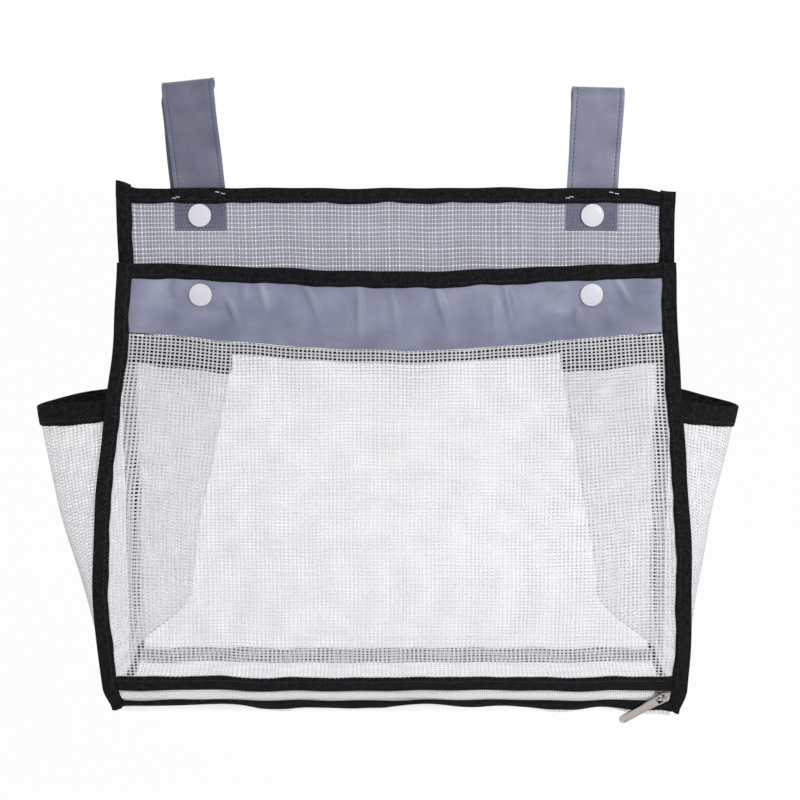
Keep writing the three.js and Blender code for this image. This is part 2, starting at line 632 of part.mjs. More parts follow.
function buildSlider() {
  const tapeBack = TAPE_SET + CLOTH / 2;
  const front = plate(sliderOutline(SLIDER_HALF), PLATE_FRONT, PLATE_BACK);
  const backFace = tapeBack + BACK_CLEAR;
  const back = plate(sliderOutline(SLIDER_HALF - GAP), backFace, backFace + BACK_PLATE);
  const divider = box(...DIVIDER, PLATE_BACK - LAP, backFace + LAP, -DIVIDER_HALF, DIVIDER_HALF);
  const railBack = TAPE_SET - CLOTH / 2 - BACK_CLEAR;
  const rails = [-1, 1].map((up) => {
    const [near, far] = [COIL_OUTER + RAIL_CLEAR, SLIDER_HALF * TAIL];
    const [z0, z1] = up > 0 ? [near, far] : [-far, -near];
    const [x0, x1] = RAIL.map((from) => from - SLIDER_LENGTH / 2);
    return box(x0, x1, PLATE_BACK - LAP, railBack, z0, z1);
  });
  const arch = new THREE.Shape();
  const foot = PLATE_FRONT + LAP;
  const crown = PLATE_FRONT - ARCH_RISE - ARCH_BAR;
  arch.moveTo(-ARCH_OUT, foot);
  arch.lineTo(-ARCH_OUT, crown + ARCH_ROUND);
  arch.quadraticCurveTo(-ARCH_OUT, crown, -ARCH_OUT + ARCH_ROUND, crown);
  arch.lineTo(ARCH_OUT - ARCH_ROUND, crown);
  arch.quadraticCurveTo(ARCH_OUT, crown, ARCH_OUT, crown + ARCH_ROUND);
  arch.lineTo(ARCH_OUT, foot);
  arch.lineTo(ARCH_IN, foot);
  arch.lineTo(ARCH_IN, PLATE_FRONT - ARCH_RISE);
  arch.lineTo(-ARCH_IN, PLATE_FRONT - ARCH_RISE);
  arch.lineTo(-ARCH_IN, foot);
  arch.closePath();
  const bridge = new THREE.ExtrudeGeometry(arch, {
    depth: 2 * ARCH_HALF, bevelEnabled: false, curveSegments: 3,
  });
  bridge.translate(0, 0, -ARCH_HALF);
  const slider = joined([front, back, divider, ...rails, solid(bridge)]);
  const piece = addPiece('zipper_slider', slider, NICKEL, zipperGroup);
  piece.position.x = SLIDER_X;
}

// Pull tab: an eye whose end bar lies under the slider's arch, and a bar with raised edges and a dished end
const PULL_THICK = 1;
const PULL_RIM = 0.8;
const PULL_FIELD = 0.2;
const PULL_DISH = 0.15;
const DISH_LENGTH = 4.6;
const EYE_END = 3.9;
const EYE_WIDTH = 6.2;
const EYE_WALL = 0.75;
const SHOULDER = 1.2;

// A slab of an outline in x and y, between two z values
function slab(shape, z0, z1) {
  const depth = z1 - z0;
  const geometry = new THREE.ExtrudeGeometry(shape, { depth, bevelEnabled: false, curveSegments: 8 });
  geometry.translate(0, 0, z0);
  return solid(geometry);
}

// A bar's outline from one y to another, with a round far end
function roundEnded(half, from, to) {
  const shape = new THREE.Shape();
  shape.moveTo(-half, from);
  shape.lineTo(half, from);
  shape.lineTo(half, to - half);
  shape.absarc(0, to - half, half, 0, Math.PI, false);
  shape.closePath();
  return shape;
}

function pullOutline() {
  const bar = ARCH_RISE / 3;
  const [eyeHalf, half] = [EYE_WIDTH / 2, PULL_WIDTH / 2];
  const shape = new THREE.Shape();
  shape.moveTo(-eyeHalf, -bar);
  shape.lineTo(eyeHalf, -bar);
  shape.lineTo(eyeHalf, EYE_END);
  shape.lineTo(half, EYE_END + SHOULDER);
  shape.lineTo(half, PULL_LENGTH - half);
  shape.absarc(0, PULL_LENGTH - half, half, 0, Math.PI, false);
  shape.lineTo(-half, EYE_END + SHOULDER);
  shape.lineTo(-eyeHalf, EYE_END);
  shape.closePath();
  const eye = new THREE.Path();
  const inside = eyeHalf - EYE_WALL;
  eye.moveTo(-inside, bar);
  eye.lineTo(-inside, EYE_END);
  eye.lineTo(inside, EYE_END);
  eye.lineTo(inside, bar);
  eye.closePath();
  shape.holes.push(eye);
  return shape;
}

function buildPull() {
  const face = PULL_THICK / 2;
  const inner = PULL_WIDTH / 2 - PULL_RIM;
  const field = roundEnded(inner, EYE_END + SHOULDER + PULL_RIM, PULL_LENGTH - PULL_RIM);
  const dish = new THREE.Shape();
  dish.absellipse(0, PULL_LENGTH - PULL_RIM - DISH_LENGTH / 2, inner, DISH_LENGTH / 2, 0, 2 * Math.PI);
  const sunk = [[field, PULL_FIELD], [dish, PULL_FIELD + PULL_DISH]].flatMap(([shape, depth]) => [
    slab(shape, face - depth, PULL_THICK),
    slab(shape, -PULL_THICK, depth - face),
  ]);
  const tab = cut(slab(pullOutline(), -face, face), sunk);
  const piece = addPiece('zipper_pull', tab, NICKEL, zipperGroup);
  const hang = new THREE.Vector3(-Math.cos(PULL_HANG), 0, -Math.sin(PULL_HANG));
  place(piece, new THREE.Vector3(SLIDER_X, PULL_Y, 0), hang.clone().cross(FRONT), hang);
}

// Floor net: up behind the lower binding, down round the front edge, and back with a sag to the back panel
const FLOOR_LIP = 2;
const FLOOR_SEAM_RISE = 1.5;
const FLOOR_STRAIGHT = 0.15;

function buildFloor() {
  zipperGroup.updateMatrixWorld(true);
  const inZipper = (z) => zipperGroup.localToWorld(new THREE.Vector3(0, 0, z));
  const lip = inZipper(-ZIPPER_HALF - TAPE_TURN);
  const turn = inZipper(-ZIPPER_HALF - LOWER_BINDING - FLOOR_LIP);
  const down = turn.clone().sub(lip).normalize();
  const end = new THREE.Vector3(0, Y_BACK - NET / 2 - GAP, TOP - BAG_HEIGHT + BINDING + FLOOR_SEAM_RISE);
  const bottom = new THREE.CubicBezierCurve3(turn, turn.clone().addScaledVector(down, FLOOR_ROUND),
    end.clone().add(new THREE.Vector3(0, -FLOOR_RUN, -FLOOR_SAG)), end);
  const half = BEND - PLEAT_LEAST - NET / 2 - GAP - TAPE - 2 * GAP;
  const straight = FLOOR_STRAIGHT;
  const point = (u, t) => {
    const s = Math.max(0, (t - straight) / (1 - straight));
    const path = t < straight ? lip.clone().lerp(turn, t / straight) : bottom.getPoint(s);
    const sag = FLOOR_SAG * Math.sin(Math.PI * s) ** 2 * (1 - u ** 4);
    return path.setX(u * half).add(new THREE.Vector3(0, 0, -sag));
  };
  const ts = [0, straight, ...steps(straight, 1, 9).slice(1)];
  addPiece('floor_net', sheet(point, steps(-1, 1, 8), ts, NET), WHITE_NET);
  const reach = HALF - BINDING - GAP;
  const along = (u, inset) => lip.clone().setX(u * reach).addScaledVector(down, inset);
  const legs = [LOWER_BINDING, LOWER_BINDING];
  const binding = foldedTape(along, [-1, 1], [-NET / 2, NET / 2], legs, FRONT);
  addPiece('floor_binding_front', binding, BLACK_TAPE);
}

// Side pockets: a net pouch over each gusset, bound along its mouth and closed onto the pleat below
const POCKET_SET = NET / 2 + FLANGE_SET + GAP + TAPE + GAP + TAPE + GAP + NET / 2;
const POCKET_STATIONS = [-1, -0.9, -0.7, -0.4, 0, 0.4, 0.7, 0.9, 1];
const POCKET_CLOSE = 4;
const POCKET_WALL = POCKET_HEIGHT - POCKET_CLOSE;
const POCKET_FOOT_REACH = 2;
const POCKET_ROUND = 0.6;
const POCKET_SPAN = 0.999;

function pocketPoint(side, station, drop) {
  const wall = Math.min((drop - POCKET_DROP) / POCKET_WALL, 1);
  const closing = Math.max(0, (drop - POCKET_DROP - POCKET_WALL) / (POCKET_HEIGHT - POCKET_WALL));
  const place = THREE.MathUtils.clamp(station, -1, 1);
  const swell = Math.cos((Math.PI / 2) * place * POCKET_SPAN) ** POCKET_ROUND;
  const reach = mix(POCKET_REACH, POCKET_FOOT_REACH, wall);
  const level = drop + POCKET_DROOP * swell * (1 - wall);
  const front = frontEdge(side, level, POCKET_SET);
  const y = mix(front.y, Y_BACK - POCKET_SET, (place + 1) / 2);
  const { half, fold, radius } = pleatAt(level);
  const middle = (frontEdge(side, level, FLANGE_SET).y + Y_BACK - FLANGE_SET) / 2;
  const onPleat = BEND - pleatIn(y - middle, half, fold, radius) + 3 * NET;
  const out = HALF - GAP + reach * swell;
  const x = Math.abs(station) > 1 ? BEND + 2 * NET : mix(out, onPleat, closing);
  return new THREE.Vector3(side * x, y, mix(front.z, TOP - level, (place + 1) / 2));
}

function buildPockets() {
  const bottom = POCKET_DROP + POCKET_HEIGHT;
  const wallEnd = POCKET_DROP + POCKET_WALL;
  const between = KNOTS.filter((drop) => drop > POCKET_DROP + LEAST_ROW && drop < wallEnd - LEAST_ROW);
  const rows = [POCKET_DROP, ...between, wallEnd, (wallEnd + bottom) / 2, bottom];
  for (const [name, side] of SIDES) {
    const point = (station, drop) => pocketPoint(side, station, drop);
    addPiece(`pocket_${name}`, sheet(point, [-2, ...POCKET_STATIONS, 2], rows, NET), WHITE_NET);
    const cloth = facets(point, rows);
    const mouth = (station, inset) => cloth(station, POCKET_DROP + inset);
    const outside = new THREE.Vector3(side, 0, 0);
    const gathered = [-NET / 2 - GATHER, NET / 2 + GATHER];
    const tape = foldedTape(mouth, POCKET_STATIONS, gathered, [ELASTIC, ELASTIC], outside);
    addPiece(`pocket_binding_${name}`, tape, BLACK_TAPE);
  }
}

// Strap loops: one leg sewn behind the back panel's top edge and over the rail, one leg that snaps.
// Along a leg, v runs over its straight part, over its spread towards the rail and round the top.
const SPREAD_FROM = 0.35;
const ROUND_FROM = 0.7;

function loopPoint(x, lean, way, v) {
  const straightTop = TOP + STRAP_STRAIGHT;
  const arcZ = STRAP / 2 - LOOP_HALF;
  const stations = [TOP - STRAP_TAIL, straightTop, arcZ];
  let y = LEG_Y;
  let z = mix(stations[0], stations[1], v / SPREAD_FROM);
  if (v > ROUND_FROM) {
    const angle = (Math.PI / 2) * ((v - ROUND_FROM) / (1 - ROUND_FROM));
    y = LOOP_HALF * Math.cos(angle);
    z = arcZ + LOOP_HALF * Math.sin(angle);
  } else if (v > SPREAD_FROM) {
    const rise = (v - SPREAD_FROM) / (ROUND_FROM - SPREAD_FROM);
    y = mix(LEG_Y, LOOP_HALF, smoothstep(rise, 0, 1));
    z = mix(stations[1], stations[2], rise);
  }
  const shift = (lean * Math.max(0, z - TOP)) / STRAP_RISE;
  return new THREE.Vector3(x + shift, way * y, z);
}

function buildStraps() {
  const apexGap = (STRAP + GAP) / 2;
  const stop = 1 - ((1 - ROUND_FROM) * Math.asin(apexGap / LOOP_HALF)) / (Math.PI / 2);
  for (const [name, side, lean] of [['left', -1, LEFT_LEAN], ['right', 1, RIGHT_LEAN]]) {
    const middle = side * SNAP_X;
    for (const [leg, way, end] of [['fixed', -1, stop], ['free', 1, 1]]) {
      const point = (u, v) => loopPoint(middle + (u * STRAP_WIDTH) / 2, lean, way, v);
      const rows = [0, ...steps(SPREAD_FROM, ROUND_FROM, 4), ...steps(ROUND_FROM, end, 5).slice(1)];
      const strip = sheet(point, [-1, 1], rows, STRAP);
      const hole = [[middle, TOP - STRAP_SNAP_DROP]];
      addPiece(`strap_${name}_${leg}`, punched(strip, hole), GREY_CLOTH);
    }
  }
}

// Snaps, turned about Y. Each half has a cap whose prong goes through the cloth into a stud or a socket.
function turned(profile) {
  return solid(new THREE.LatheGeometry(profile.map(([r, h]) => new THREE.Vector2(r, h)), SNAP_SIDES));
}

// Cap: its flat side at y 0, its dome towards -y and its prong towards +y
function snapCap(prong) {
  return turned([
    [0, -CAP_EDGE - CAP_DOME], [CAP_RADIUS * 0.55, -CAP_EDGE - CAP_DOME * 0.85],
    [CAP_RADIUS * 0.9, -CAP_EDGE], [CAP_RADIUS, -CAP_EDGE * 0.5], [CAP_RADIUS * 0.97, 0],
    [PRONG_RADIUS, 0], [PRONG_RADIUS, prong - 0.5], [PRONG_RADIUS * 0.6, prong], [0, prong],
  ]);
}

// Stud: its base at y 0, a low dome towards +y, bored through for the prong
function snapStud() {
  const bore = PRONG_RADIUS + GAP;
  const shoulder = (bore + STUD_RADIUS) / 2;
  const dome = (r) => {
    const ball = (STUD_RADIUS ** 2 + STUD_RISE ** 2) / (2 * STUD_RISE);
    return STUD_BASE + STUD_RISE - ball + Math.sqrt(ball ** 2 - r ** 2);
  };
  return turned([
    [bore, 0], [SNAP_RADIUS, 0],
    [SNAP_RADIUS, STUD_BASE - SNAP_BEVEL], [SNAP_RADIUS - SNAP_BEVEL, STUD_BASE],
    [STUD_RADIUS, STUD_BASE], [shoulder, dome(shoulder)], [bore, dome(bore)], [bore, 0],
  ]);
}

// Socket: its base at y 0, a dished mouth towards +y that the stud's dome fills, bored through
function snapSocket() {
  const bore = PRONG_RADIUS + GAP;
  const mouth = STUD_RADIUS + SOCKET_LIP;
  const dishRadius = (bore + mouth - GAP) / 2;
  const dish = SOCKET_HEIGHT + SNAP_CLEAR - STUD_RISE - GAP;
  return turned([
    [bore, 0], [SNAP_RADIUS - SNAP_BEVEL, 0], [SNAP_RADIUS, SNAP_BEVEL],
    [SNAP_RADIUS, SOCKET_HEIGHT - SNAP_BEVEL], [SNAP_RADIUS - SNAP_BEVEL, SOCKET_HEIGHT],
    [mouth, SOCKET_HEIGHT], [dishRadius, dish], [bore, dish], [bore, 0],
  ]);
}

// A snap's two halves meet across the plane where the clear space between stud base and socket is
function addSnap(prefix, x, z, frontCap, frontHalf, backHalf, backCap, socketInFront) {
  const group = new THREE.Group();
  group.position.set(x, 0, z);
  organiser.add(group);
  const frontProng = frontHalf - frontCap + PRONG_GRIP;
  const capAtFront = addPiece(`${prefix}_cap_front`, snapCap(frontProng), WHITE_PLASTIC, group);
  capAtFront.position.y = frontCap;
  const backProng = backCap - backHalf + PRONG_GRIP;
  const capAtBack = addPiece(`${prefix}_cap_back`, snapCap(backProng), WHITE_PLASTIC, group);
  capAtBack.position.y = backCap;
  capAtBack.rotation.x = Math.PI;
  const socket = addPiece(`${prefix}_socket`, snapSocket(), WHITE_PLASTIC, group);
  const stud = addPiece(`${prefix}_stud`, snapStud(), WHITE_PLASTIC, group);
  const [front, back] = socketInFront ? [socket, stud] : [stud, socket];
  front.position.y = frontHalf;
  back.position.y = backHalf;
  back.rotation.x = Math.PI;
}

function buildSnaps() {
  for (const [name, side] of SIDES) {
    const x = side * SNAP_X;
    const strapFront = -LEG_Y + STRAP / 2 + GAP;
    addSnap(`strap_snap_${name}`, x, TOP - STRAP_SNAP_DROP, Y_BACK - NET / 2 - GAP,
      strapFront, LEG_Y - STRAP / 2 - GAP, LEG_Y + STRAP / 2 + GAP, false);
    const bandY = Y_BACK - SNAP_STACK;
    addSnap(`mouth_snap_${name}`, x, TOP - MOUTH_SNAP_DROP, bandY - CLOTH / 2 - GAP,
      bandY + CLOTH / 2 + GAP, Y_BACK - NET / 2 - GAP, Y_BACK + NET / 2 + GAP, true);
  }
}

buildBackPanel();
buildMouthFlap();
buildFrontPanel();
buildGussets();
buildZipper();
buildSlider();
buildPull();
buildFloor();
buildPockets();
buildStraps();
buildSnaps();

export default organiser;
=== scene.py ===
# %% [markdown]
# # A hanging bath toy organiser
#
# The organiser is a sewn bag: open nets, a satin band, black edge tape, plastic snaps and a zipped floor.
# Nothing in it is stiff, so its look comes from how cloth is cut, folded and stitched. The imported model
# gives the real size and the places of every piece. Here each soft piece is worked out again as a smooth
# surface with numpy, and woven, folded or stitched on that surface.

# %% Load the frame
import json
from functools import partial

import bpy
import numpy as np
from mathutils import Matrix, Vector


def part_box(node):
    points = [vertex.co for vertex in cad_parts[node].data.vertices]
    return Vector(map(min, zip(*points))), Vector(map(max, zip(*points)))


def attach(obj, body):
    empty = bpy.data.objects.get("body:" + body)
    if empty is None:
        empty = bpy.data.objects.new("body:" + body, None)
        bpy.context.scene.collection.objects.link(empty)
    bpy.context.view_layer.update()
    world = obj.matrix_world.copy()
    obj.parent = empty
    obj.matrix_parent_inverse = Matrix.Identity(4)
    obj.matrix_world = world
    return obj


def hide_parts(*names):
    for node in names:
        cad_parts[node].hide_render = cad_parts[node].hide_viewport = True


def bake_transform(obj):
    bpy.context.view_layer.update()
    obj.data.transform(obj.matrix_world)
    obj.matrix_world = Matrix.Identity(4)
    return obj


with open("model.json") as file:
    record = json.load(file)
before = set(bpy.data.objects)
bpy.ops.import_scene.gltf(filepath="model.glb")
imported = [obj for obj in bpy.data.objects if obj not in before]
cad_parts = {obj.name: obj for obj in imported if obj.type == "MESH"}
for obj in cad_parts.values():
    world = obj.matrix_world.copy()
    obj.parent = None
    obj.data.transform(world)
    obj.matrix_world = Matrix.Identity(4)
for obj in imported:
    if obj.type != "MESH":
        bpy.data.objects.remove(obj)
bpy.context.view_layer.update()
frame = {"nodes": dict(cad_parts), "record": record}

# %% [markdown]
# ## Camera
#
# The picture was taken from a little above the bag with a long lens, so upright edges stay nearly
# parallel. A 72 mm lens on a 36 mm sensor, one metre away and tipped 10 degrees down, gives that view.

# %% Camera
CAMERA_AT = (0.0025, -1.0126, -0.0209)
CAMERA_LENS, SENSOR_WIDTH = 72, 36
CAMERA_TIP = np.radians(80)

camera_data = bpy.data.cameras.new("camera")
camera_data.lens = CAMERA_LENS
camera_data.sensor_width = SENSOR_WIDTH
camera = bpy.data.objects.new("camera", camera_data)
camera.location = CAMERA_AT
camera.rotation_euler = (CAMERA_TIP, 0, 0)
bpy.context.scene.collection.objects.link(camera)
bpy.context.scene.camera = camera
print("camera:", CAMERA_LENS, "mm lens at", CAMERA_AT)

# %% [markdown]
# ## Sizes
#
# Lengths are in millimetres until a mesh is made. What the frame knows, such as the bag's half width, the
# height of its top edge and the places of the snaps, is read from it. The rest repeats the sewing pattern:
# how deep the bag stands, how wide the tapes are and how far the cloth sags. A "drop" is a distance below
# the back panel's top edge.

# %% Sizes
MM = 0.001


def box_mm(node):
    """Lowest and highest corner of a frame node, in millimetres."""
    low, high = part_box(node)
    return np.array(low) / MM, np.array(high) / MM


def middle_mm(node):
    """Middle of a frame node's box, in millimetres."""
    low, high = box_mm(node)
    return (low + high) / 2


HALF, _, TOP = box_mm("back_binding_top")[1]
BAG_HEIGHT = TOP - box_mm("back_binding_bottom")[0][2]
Y_BACK = middle_mm("back_net")[1]
SNAP_X = middle_mm("mouth_snap_right_cap_front")[0]
MOUTH_SNAP_DROP = TOP - middle_mm("mouth_snap_right_cap_front")[2]
STRAP_SNAP_DROP = TOP - middle_mm("strap_snap_right_cap_front")[2]
SLIDER_X = middle_mm("zipper_slider")[0]

MOUTH_DROP, MOUTH_SAG = 47, 5
HINGE_DROP, HINGE_SAG = 88, 10
GUSSET_DROP = 93
MOUTH_DEPTH, FLOOR_DEPTH = 24, 88
EDGE_BULGE, EDGE_BULGE_SKEW = 32, 1.35
HINGE_BULGE, NET_BULGE, MOUTH_BULGE = 8, 18, 5
NET, CLOTH, STRAP = 0.8, 0.6, 1.2
TAPE, GAP, TAPE_CLEAR = 0.6, 0.3, 1
BINDING, INNER_LEG, ELASTIC, LOWER_BINDING = 9.5, 5, 12.5, 6.5
SEAM_TAPE = 8
SNAP_STACK = 4.7
FLANGE_SET = NET + GAP
TAPE_TURN = GAP + TAPE
EDGE = HALF - TAPE_TURN
FIELD = HALF - BINDING - TAPE_CLEAR
FIN_DROP = BAG_HEIGHT - TAPE_TURN
ZIPPER_RISE, ZIPPER_HALF = 11, 3.8
ZIPPER_DROP = BAG_HEIGHT - ZIPPER_RISE
NET_BOTTOM_DROP = ZIPPER_DROP - ZIPPER_HALF - TAPE_TURN
SIDES = {"left": -1, "right": 1}
print(f"bag {2 * HALF:.0f} x {BAG_HEIGHT:.0f} mm, snaps {2 * SNAP_X:.0f} mm apart")

# %% [markdown]
# ## How the cloth settles
#
# A sewing pattern is symmetric, and a bag that hangs is not: the left edge and both pockets lean a little
# to the left, one top corner droops and the other stands up, and everything ripples by less than a
# millimetre. A cloth simulation would move each piece its own way and open the seams. Instead one function
# moves every soft surface the same way, so seams stay together. Round the snaps and the slider the cloth
# is held, so it stays where the pattern puts it.


# %% Blends
def mix(a, b, t):
    """A straight blend: a at t = 0, b at t = 1."""
    return a + (b - a) * t


def smooth(x, start, end):
    """The smooth step 3t^2 - 2t^3 of x between start and end, flat outside them."""
    t = np.clip((x - start) / (end - start), 0, 1)
    return t * t * (3 - 2 * t)


print("halfway:", mix(0, 1, 0.5), smooth(0.5, 0, 1))

# %% Settling
LEFT_LEAN, POCKET_LEAN = 4.5, 4.0
EAR, CORNER_DROOP, FOOT_DROOP = 4.0, 3.5, 2.5
RIPPLE, SHARE_ACROSS, SHARE_UP = 0.7, 0.35, 0.6
# Each pair: the distances at which a movement begins and at which it is full.
LEAN_FROM_MIDDLE, LEAN_FROM_BACK = (60, HALF), (5, 40)
POCKET_FROM_MIDDLE = (HALF, HALF + 25)
EAR_FROM_MIDDLE, DROOP_FROM_MIDDLE, CORNER_FROM_TOP = (HALF - 14, HALF), (HALF - 22, HALF), (0, 34)
FOOT_FROM_MIDDLE, FOOT_FROM_TOP, FOOT_FROM_BACK = (158, HALF), (285, BAG_HEIGHT), (20, 60)
FREE_OF_SNAP, FREE_OF_SLIDER = (9, 28), (10, 40)


def settle(points):
    """Moves points (..., xyz): smooth steps pick the left front, the top corners, the right foot and the
    places that are free, and sums of sines of different wavelengths make the ripple."""
    x, y, z = np.moveaxis(np.asarray(points, float), -1, 0)
    drop, depth = TOP - z, Y_BACK - y
    belly = np.sin(np.pi * np.clip((drop - HINGE_DROP) / (FIN_DROP - HINGE_DROP), 0, 1))
    leftness = smooth(-x, *LEAN_FROM_MIDDLE) * smooth(depth, *LEAN_FROM_BACK)
    free = 1
    for snap_drop in (MOUTH_SNAP_DROP, STRAP_SNAP_DROP):
        free = free * smooth(np.hypot(np.abs(x) - SNAP_X, drop - snap_drop), *FREE_OF_SNAP)
    free = free * smooth(np.hypot(x - SLIDER_X, drop - ZIPPER_DROP), *FREE_OF_SLIDER)
    sway = np.sin(x / 19 + z / 31 + 0.7) * np.cos(z / 24 - x / 43) + 0.5 * np.sin(x / 8.3 - z / 12.7)
    lift = np.sin(x / 14 + 0.4) * np.cos(x / 33 - z / 57) + 0.5 * np.sin(x / 6.1 + z / 18)
    at_top = 1 - smooth(drop, *CORNER_FROM_TOP)
    corner = EAR * smooth(-x, *EAR_FROM_MIDDLE) - CORNER_DROOP * smooth(x, *DROOP_FROM_MIDDLE)
    beyond = smooth(np.abs(x), *POCKET_FROM_MIDDLE)
    sideways = LEFT_LEAN * leftness * belly + POCKET_LEAN * beyond
    settled_x = x - sideways + SHARE_ACROSS * RIPPLE * free * np.sin(z / 11 + y / 17)
    settled_y = y + RIPPLE * free * sway
    foot = smooth(x, *FOOT_FROM_MIDDLE) * smooth(drop, *FOOT_FROM_TOP) * smooth(depth, *FOOT_FROM_BACK)
    settled_z = z + SHARE_UP * RIPPLE * free * lift + at_top * corner - FOOT_DROOP * foot
    return np.stack([settled_x, settled_y, settled_z], axis=-1)


print(f"settling: ripple {RIPPLE} mm, left edge {LEFT_LEAN} mm out")

# %% [markdown]
# ## Mesh building blocks
#
# A closed tube joins rings of points. A sheet of cloth is such a tube with flat rings, and so is a turned
# snap, so one builder makes most of the bag.


# %% Closed tubes
def oriented(points, quads, uv):
    """Turns all faces if the signed volume, the sum of a . (b x c) over the faces, is negative."""
    a, b, c, d = (points[quads[:, k]] for k in range(4))
    if np.einsum("ij,ij->", a, np.cross(b, c) + np.cross(c, d)) < 0:
        return points, quads[:, ::-1], uv[:, ::-1]
    return points, quads, uv


def joined(*parts):
    """Several parts (points, quads, uv) as one, with the corner numbers of later parts moved up."""
    starts = np.cumsum([0] + [len(part[0]) for part in parts[:-1]])
    points = np.concatenate([part[0] for part in parts])
    quads = np.concatenate([part[1] + start for part, start in zip(parts, starts)])
    return points, quads, np.concatenate([part[2] for part in parts])


def lengths(line):
    """Running length along a line of points."""
    return np.concatenate([[0], np.cumsum(np.linalg.norm(np.diff(line, axis=0), axis=-1))])


def ring_tube(rings):
    """A closed tube from rings (station, corner, xyz): walls between neighbouring rings, and ends closed by
    pairing corners across the ring. UV is the length along the tube and round the ring, in millimetres."""
    stations, corners = rings.shape[:2]
    index = np.arange(stations * corners).reshape(stations, corners)
    near, far = index[:-1], index[1:]
    walls = np.stack([near, np.roll(near, -1, 1), np.roll(far, -1, 1), far], -1)
    along = lengths(rings.mean(axis=1))
    middle = rings[stations // 2]
    around = lengths(np.concatenate([middle, middle[:1]]))
    u = np.broadcast_to(along[:, None], (stations, corners + 1))
    v = np.broadcast_to(around[None, :], (stations, corners + 1))
    map_grid = np.stack([u, v], -1)
    wall_uv = np.stack([map_grid[:-1, :-1], map_grid[:-1, 1:], map_grid[1:, 1:], map_grid[1:, :-1]], 2)
    half = np.arange(corners // 2 - 1)
    end = np.stack([half, half + 1, corners - 2 - half, corners - 1 - half], -1)
    caps = np.concatenate([index[0][end][:, ::-1], index[-1][end]])
    cap_uv = np.concatenate([map_grid[0][end][:, ::-1], map_grid[-1][end]])
    quads = np.concatenate([walls.reshape(-1, 4), caps])
    uv = np.concatenate([wall_uv.reshape(-1, 4, 2), cap_uv])
    return oriented(rings.reshape(-1, 3), quads, uv)


print("closed tubes ready")

# %% [markdown]
# A net has hundreds of yarns and a seam hundreds of stitches. One tube object for each would be slow, so
# all the thin four-sided tubes of a piece are made in one go, as one array.


# %% Yarns
def yarn_tubes(paths, sides, normals, width, thickness):
    """Many four-sided yarns along paths (yarn, point, xyz): each ring has a corner half a width to either
    side and half a thickness along the normal to either side. UV is the length and the side."""
    ring = np.stack([paths + sides * width / 2, paths + normals * thickness / 2,
                     paths - sides * width / 2, paths - normals * thickness / 2], axis=2)
    yarns, stations = ring.shape[:2]
    index = np.arange(yarns * stations * 4).reshape(yarns, stations, 4)
    near, far = index[:, :-1], index[:, 1:]
    walls = np.stack([near, np.roll(near, -1, 2), np.roll(far, -1, 2), far], -1).reshape(-1, 4)
    caps = np.concatenate([index[:, 0, ::-1], index[:, -1]])
    quads = np.concatenate([walls, caps])
    steps = np.linalg.norm(np.diff(paths, axis=1), axis=-1)
    along = np.concatenate([np.zeros((yarns, 1)), np.cumsum(steps, axis=1)], axis=1)
    corner_u = np.repeat(along.ravel(), 4)[quads]
    corner_v = np.tile(np.arange(4) * width / 2, yarns * stations)[quads]
    return oriented(ring.reshape(-1, 3), quads, np.stack([corner_u, corner_v], -1))


print("yarn tubes ready")

# %% [markdown]
# A part becomes a mesh by `foreach_set`, which copies whole arrays and is far quicker than one vertex at a
# time. The piece then rides on a body of the frame, stands for the frame's nodes and takes a material slot.

# %% Pieces
SHARP = np.radians(70)


def add_piece(name, part, finish, slot, body, *nodes):
    """Makes a mesh object in metres from a part, sets it riding on a body and standing for frame nodes."""
    points, quads, uv = part
    mesh = bpy.data.meshes.new(name)
    mesh.vertices.add(len(points))
    mesh.vertices.foreach_set("co", (points * MM).astype(np.float32).ravel())
    mesh.loops.add(quads.size)
    mesh.loops.foreach_set("vertex_index", quads.astype(np.int32).ravel())
    mesh.polygons.add(len(quads))
    mesh.polygons.foreach_set("loop_start", np.arange(0, quads.size, 4, dtype=np.int32))
    mesh.polygons.foreach_set("use_smooth", np.ones(len(quads), bool))
    mesh.uv_layers.new(name="threads").data.foreach_set("uv", uv.astype(np.float32).ravel())
    mesh.update(calc_edges=True)
    mesh.set_sharp_from_angle(angle=SHARP)
    mesh.materials.append(finish)
    piece = bpy.data.objects.new(name, mesh)
    bpy.context.scene.collection.objects.link(piece)
    if body:
        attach(piece, body)
    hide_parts(*nodes)
    return piece


print("builders ready: ring_tube, yarn_tubes, add_piece")

# %% [markdown]
# ## Materials
#
# Each finish starts from what the real one is made of. The patterns are drawn in millimetres on the UV map
# that the builders lay along the threads, so a twill keeps its pitch on every piece. One function adds a
# shader node with its settings and links.


# %% Material helpers
def linear(code):
    """An sRGB hex colour as linear RGBA: (c / 12.92) below 0.04045, ((c + 0.055) / 1.055)^2.4 above."""
    channels = np.array([int(code[k:k + 2], 16) for k in (1, 3, 5)]) / 255
    values = np.where(channels < 0.04045, channels / 12.92, ((channels + 0.055) / 1.055) ** 2.4)
    return (*values, 1.0)


def add_node(tree, kind, settings=None, inputs=None, stops=()):
    """Adds a shader node, sets its attributes, sets or links its inputs, and places its colour stops."""
    made = tree.nodes.new(kind)
    for name, value in (settings or {}).items():
        setattr(made, name, value)
    for socket, value in (inputs or {}).items():
        if isinstance(value, bpy.types.NodeSocket):
            tree.links.new(value, made.inputs[socket])
        else:
            made.inputs[socket].default_value = value
    for number, (position, code) in enumerate(stops):
        made.color_ramp.elements[number].position = position
        made.color_ramp.elements[number].color = linear(code)
    return made


def new_material(name, inputs):
    """A material with its Principled shader's sockets set, its node tree and the shader."""
    material = bpy.data.materials.new(name)
    material.use_nodes = True
    shader = material.node_tree.nodes["Principled BSDF"]
    for socket, value in inputs.items():
        shader.inputs[socket].default_value = value
    return material, material.node_tree, shader


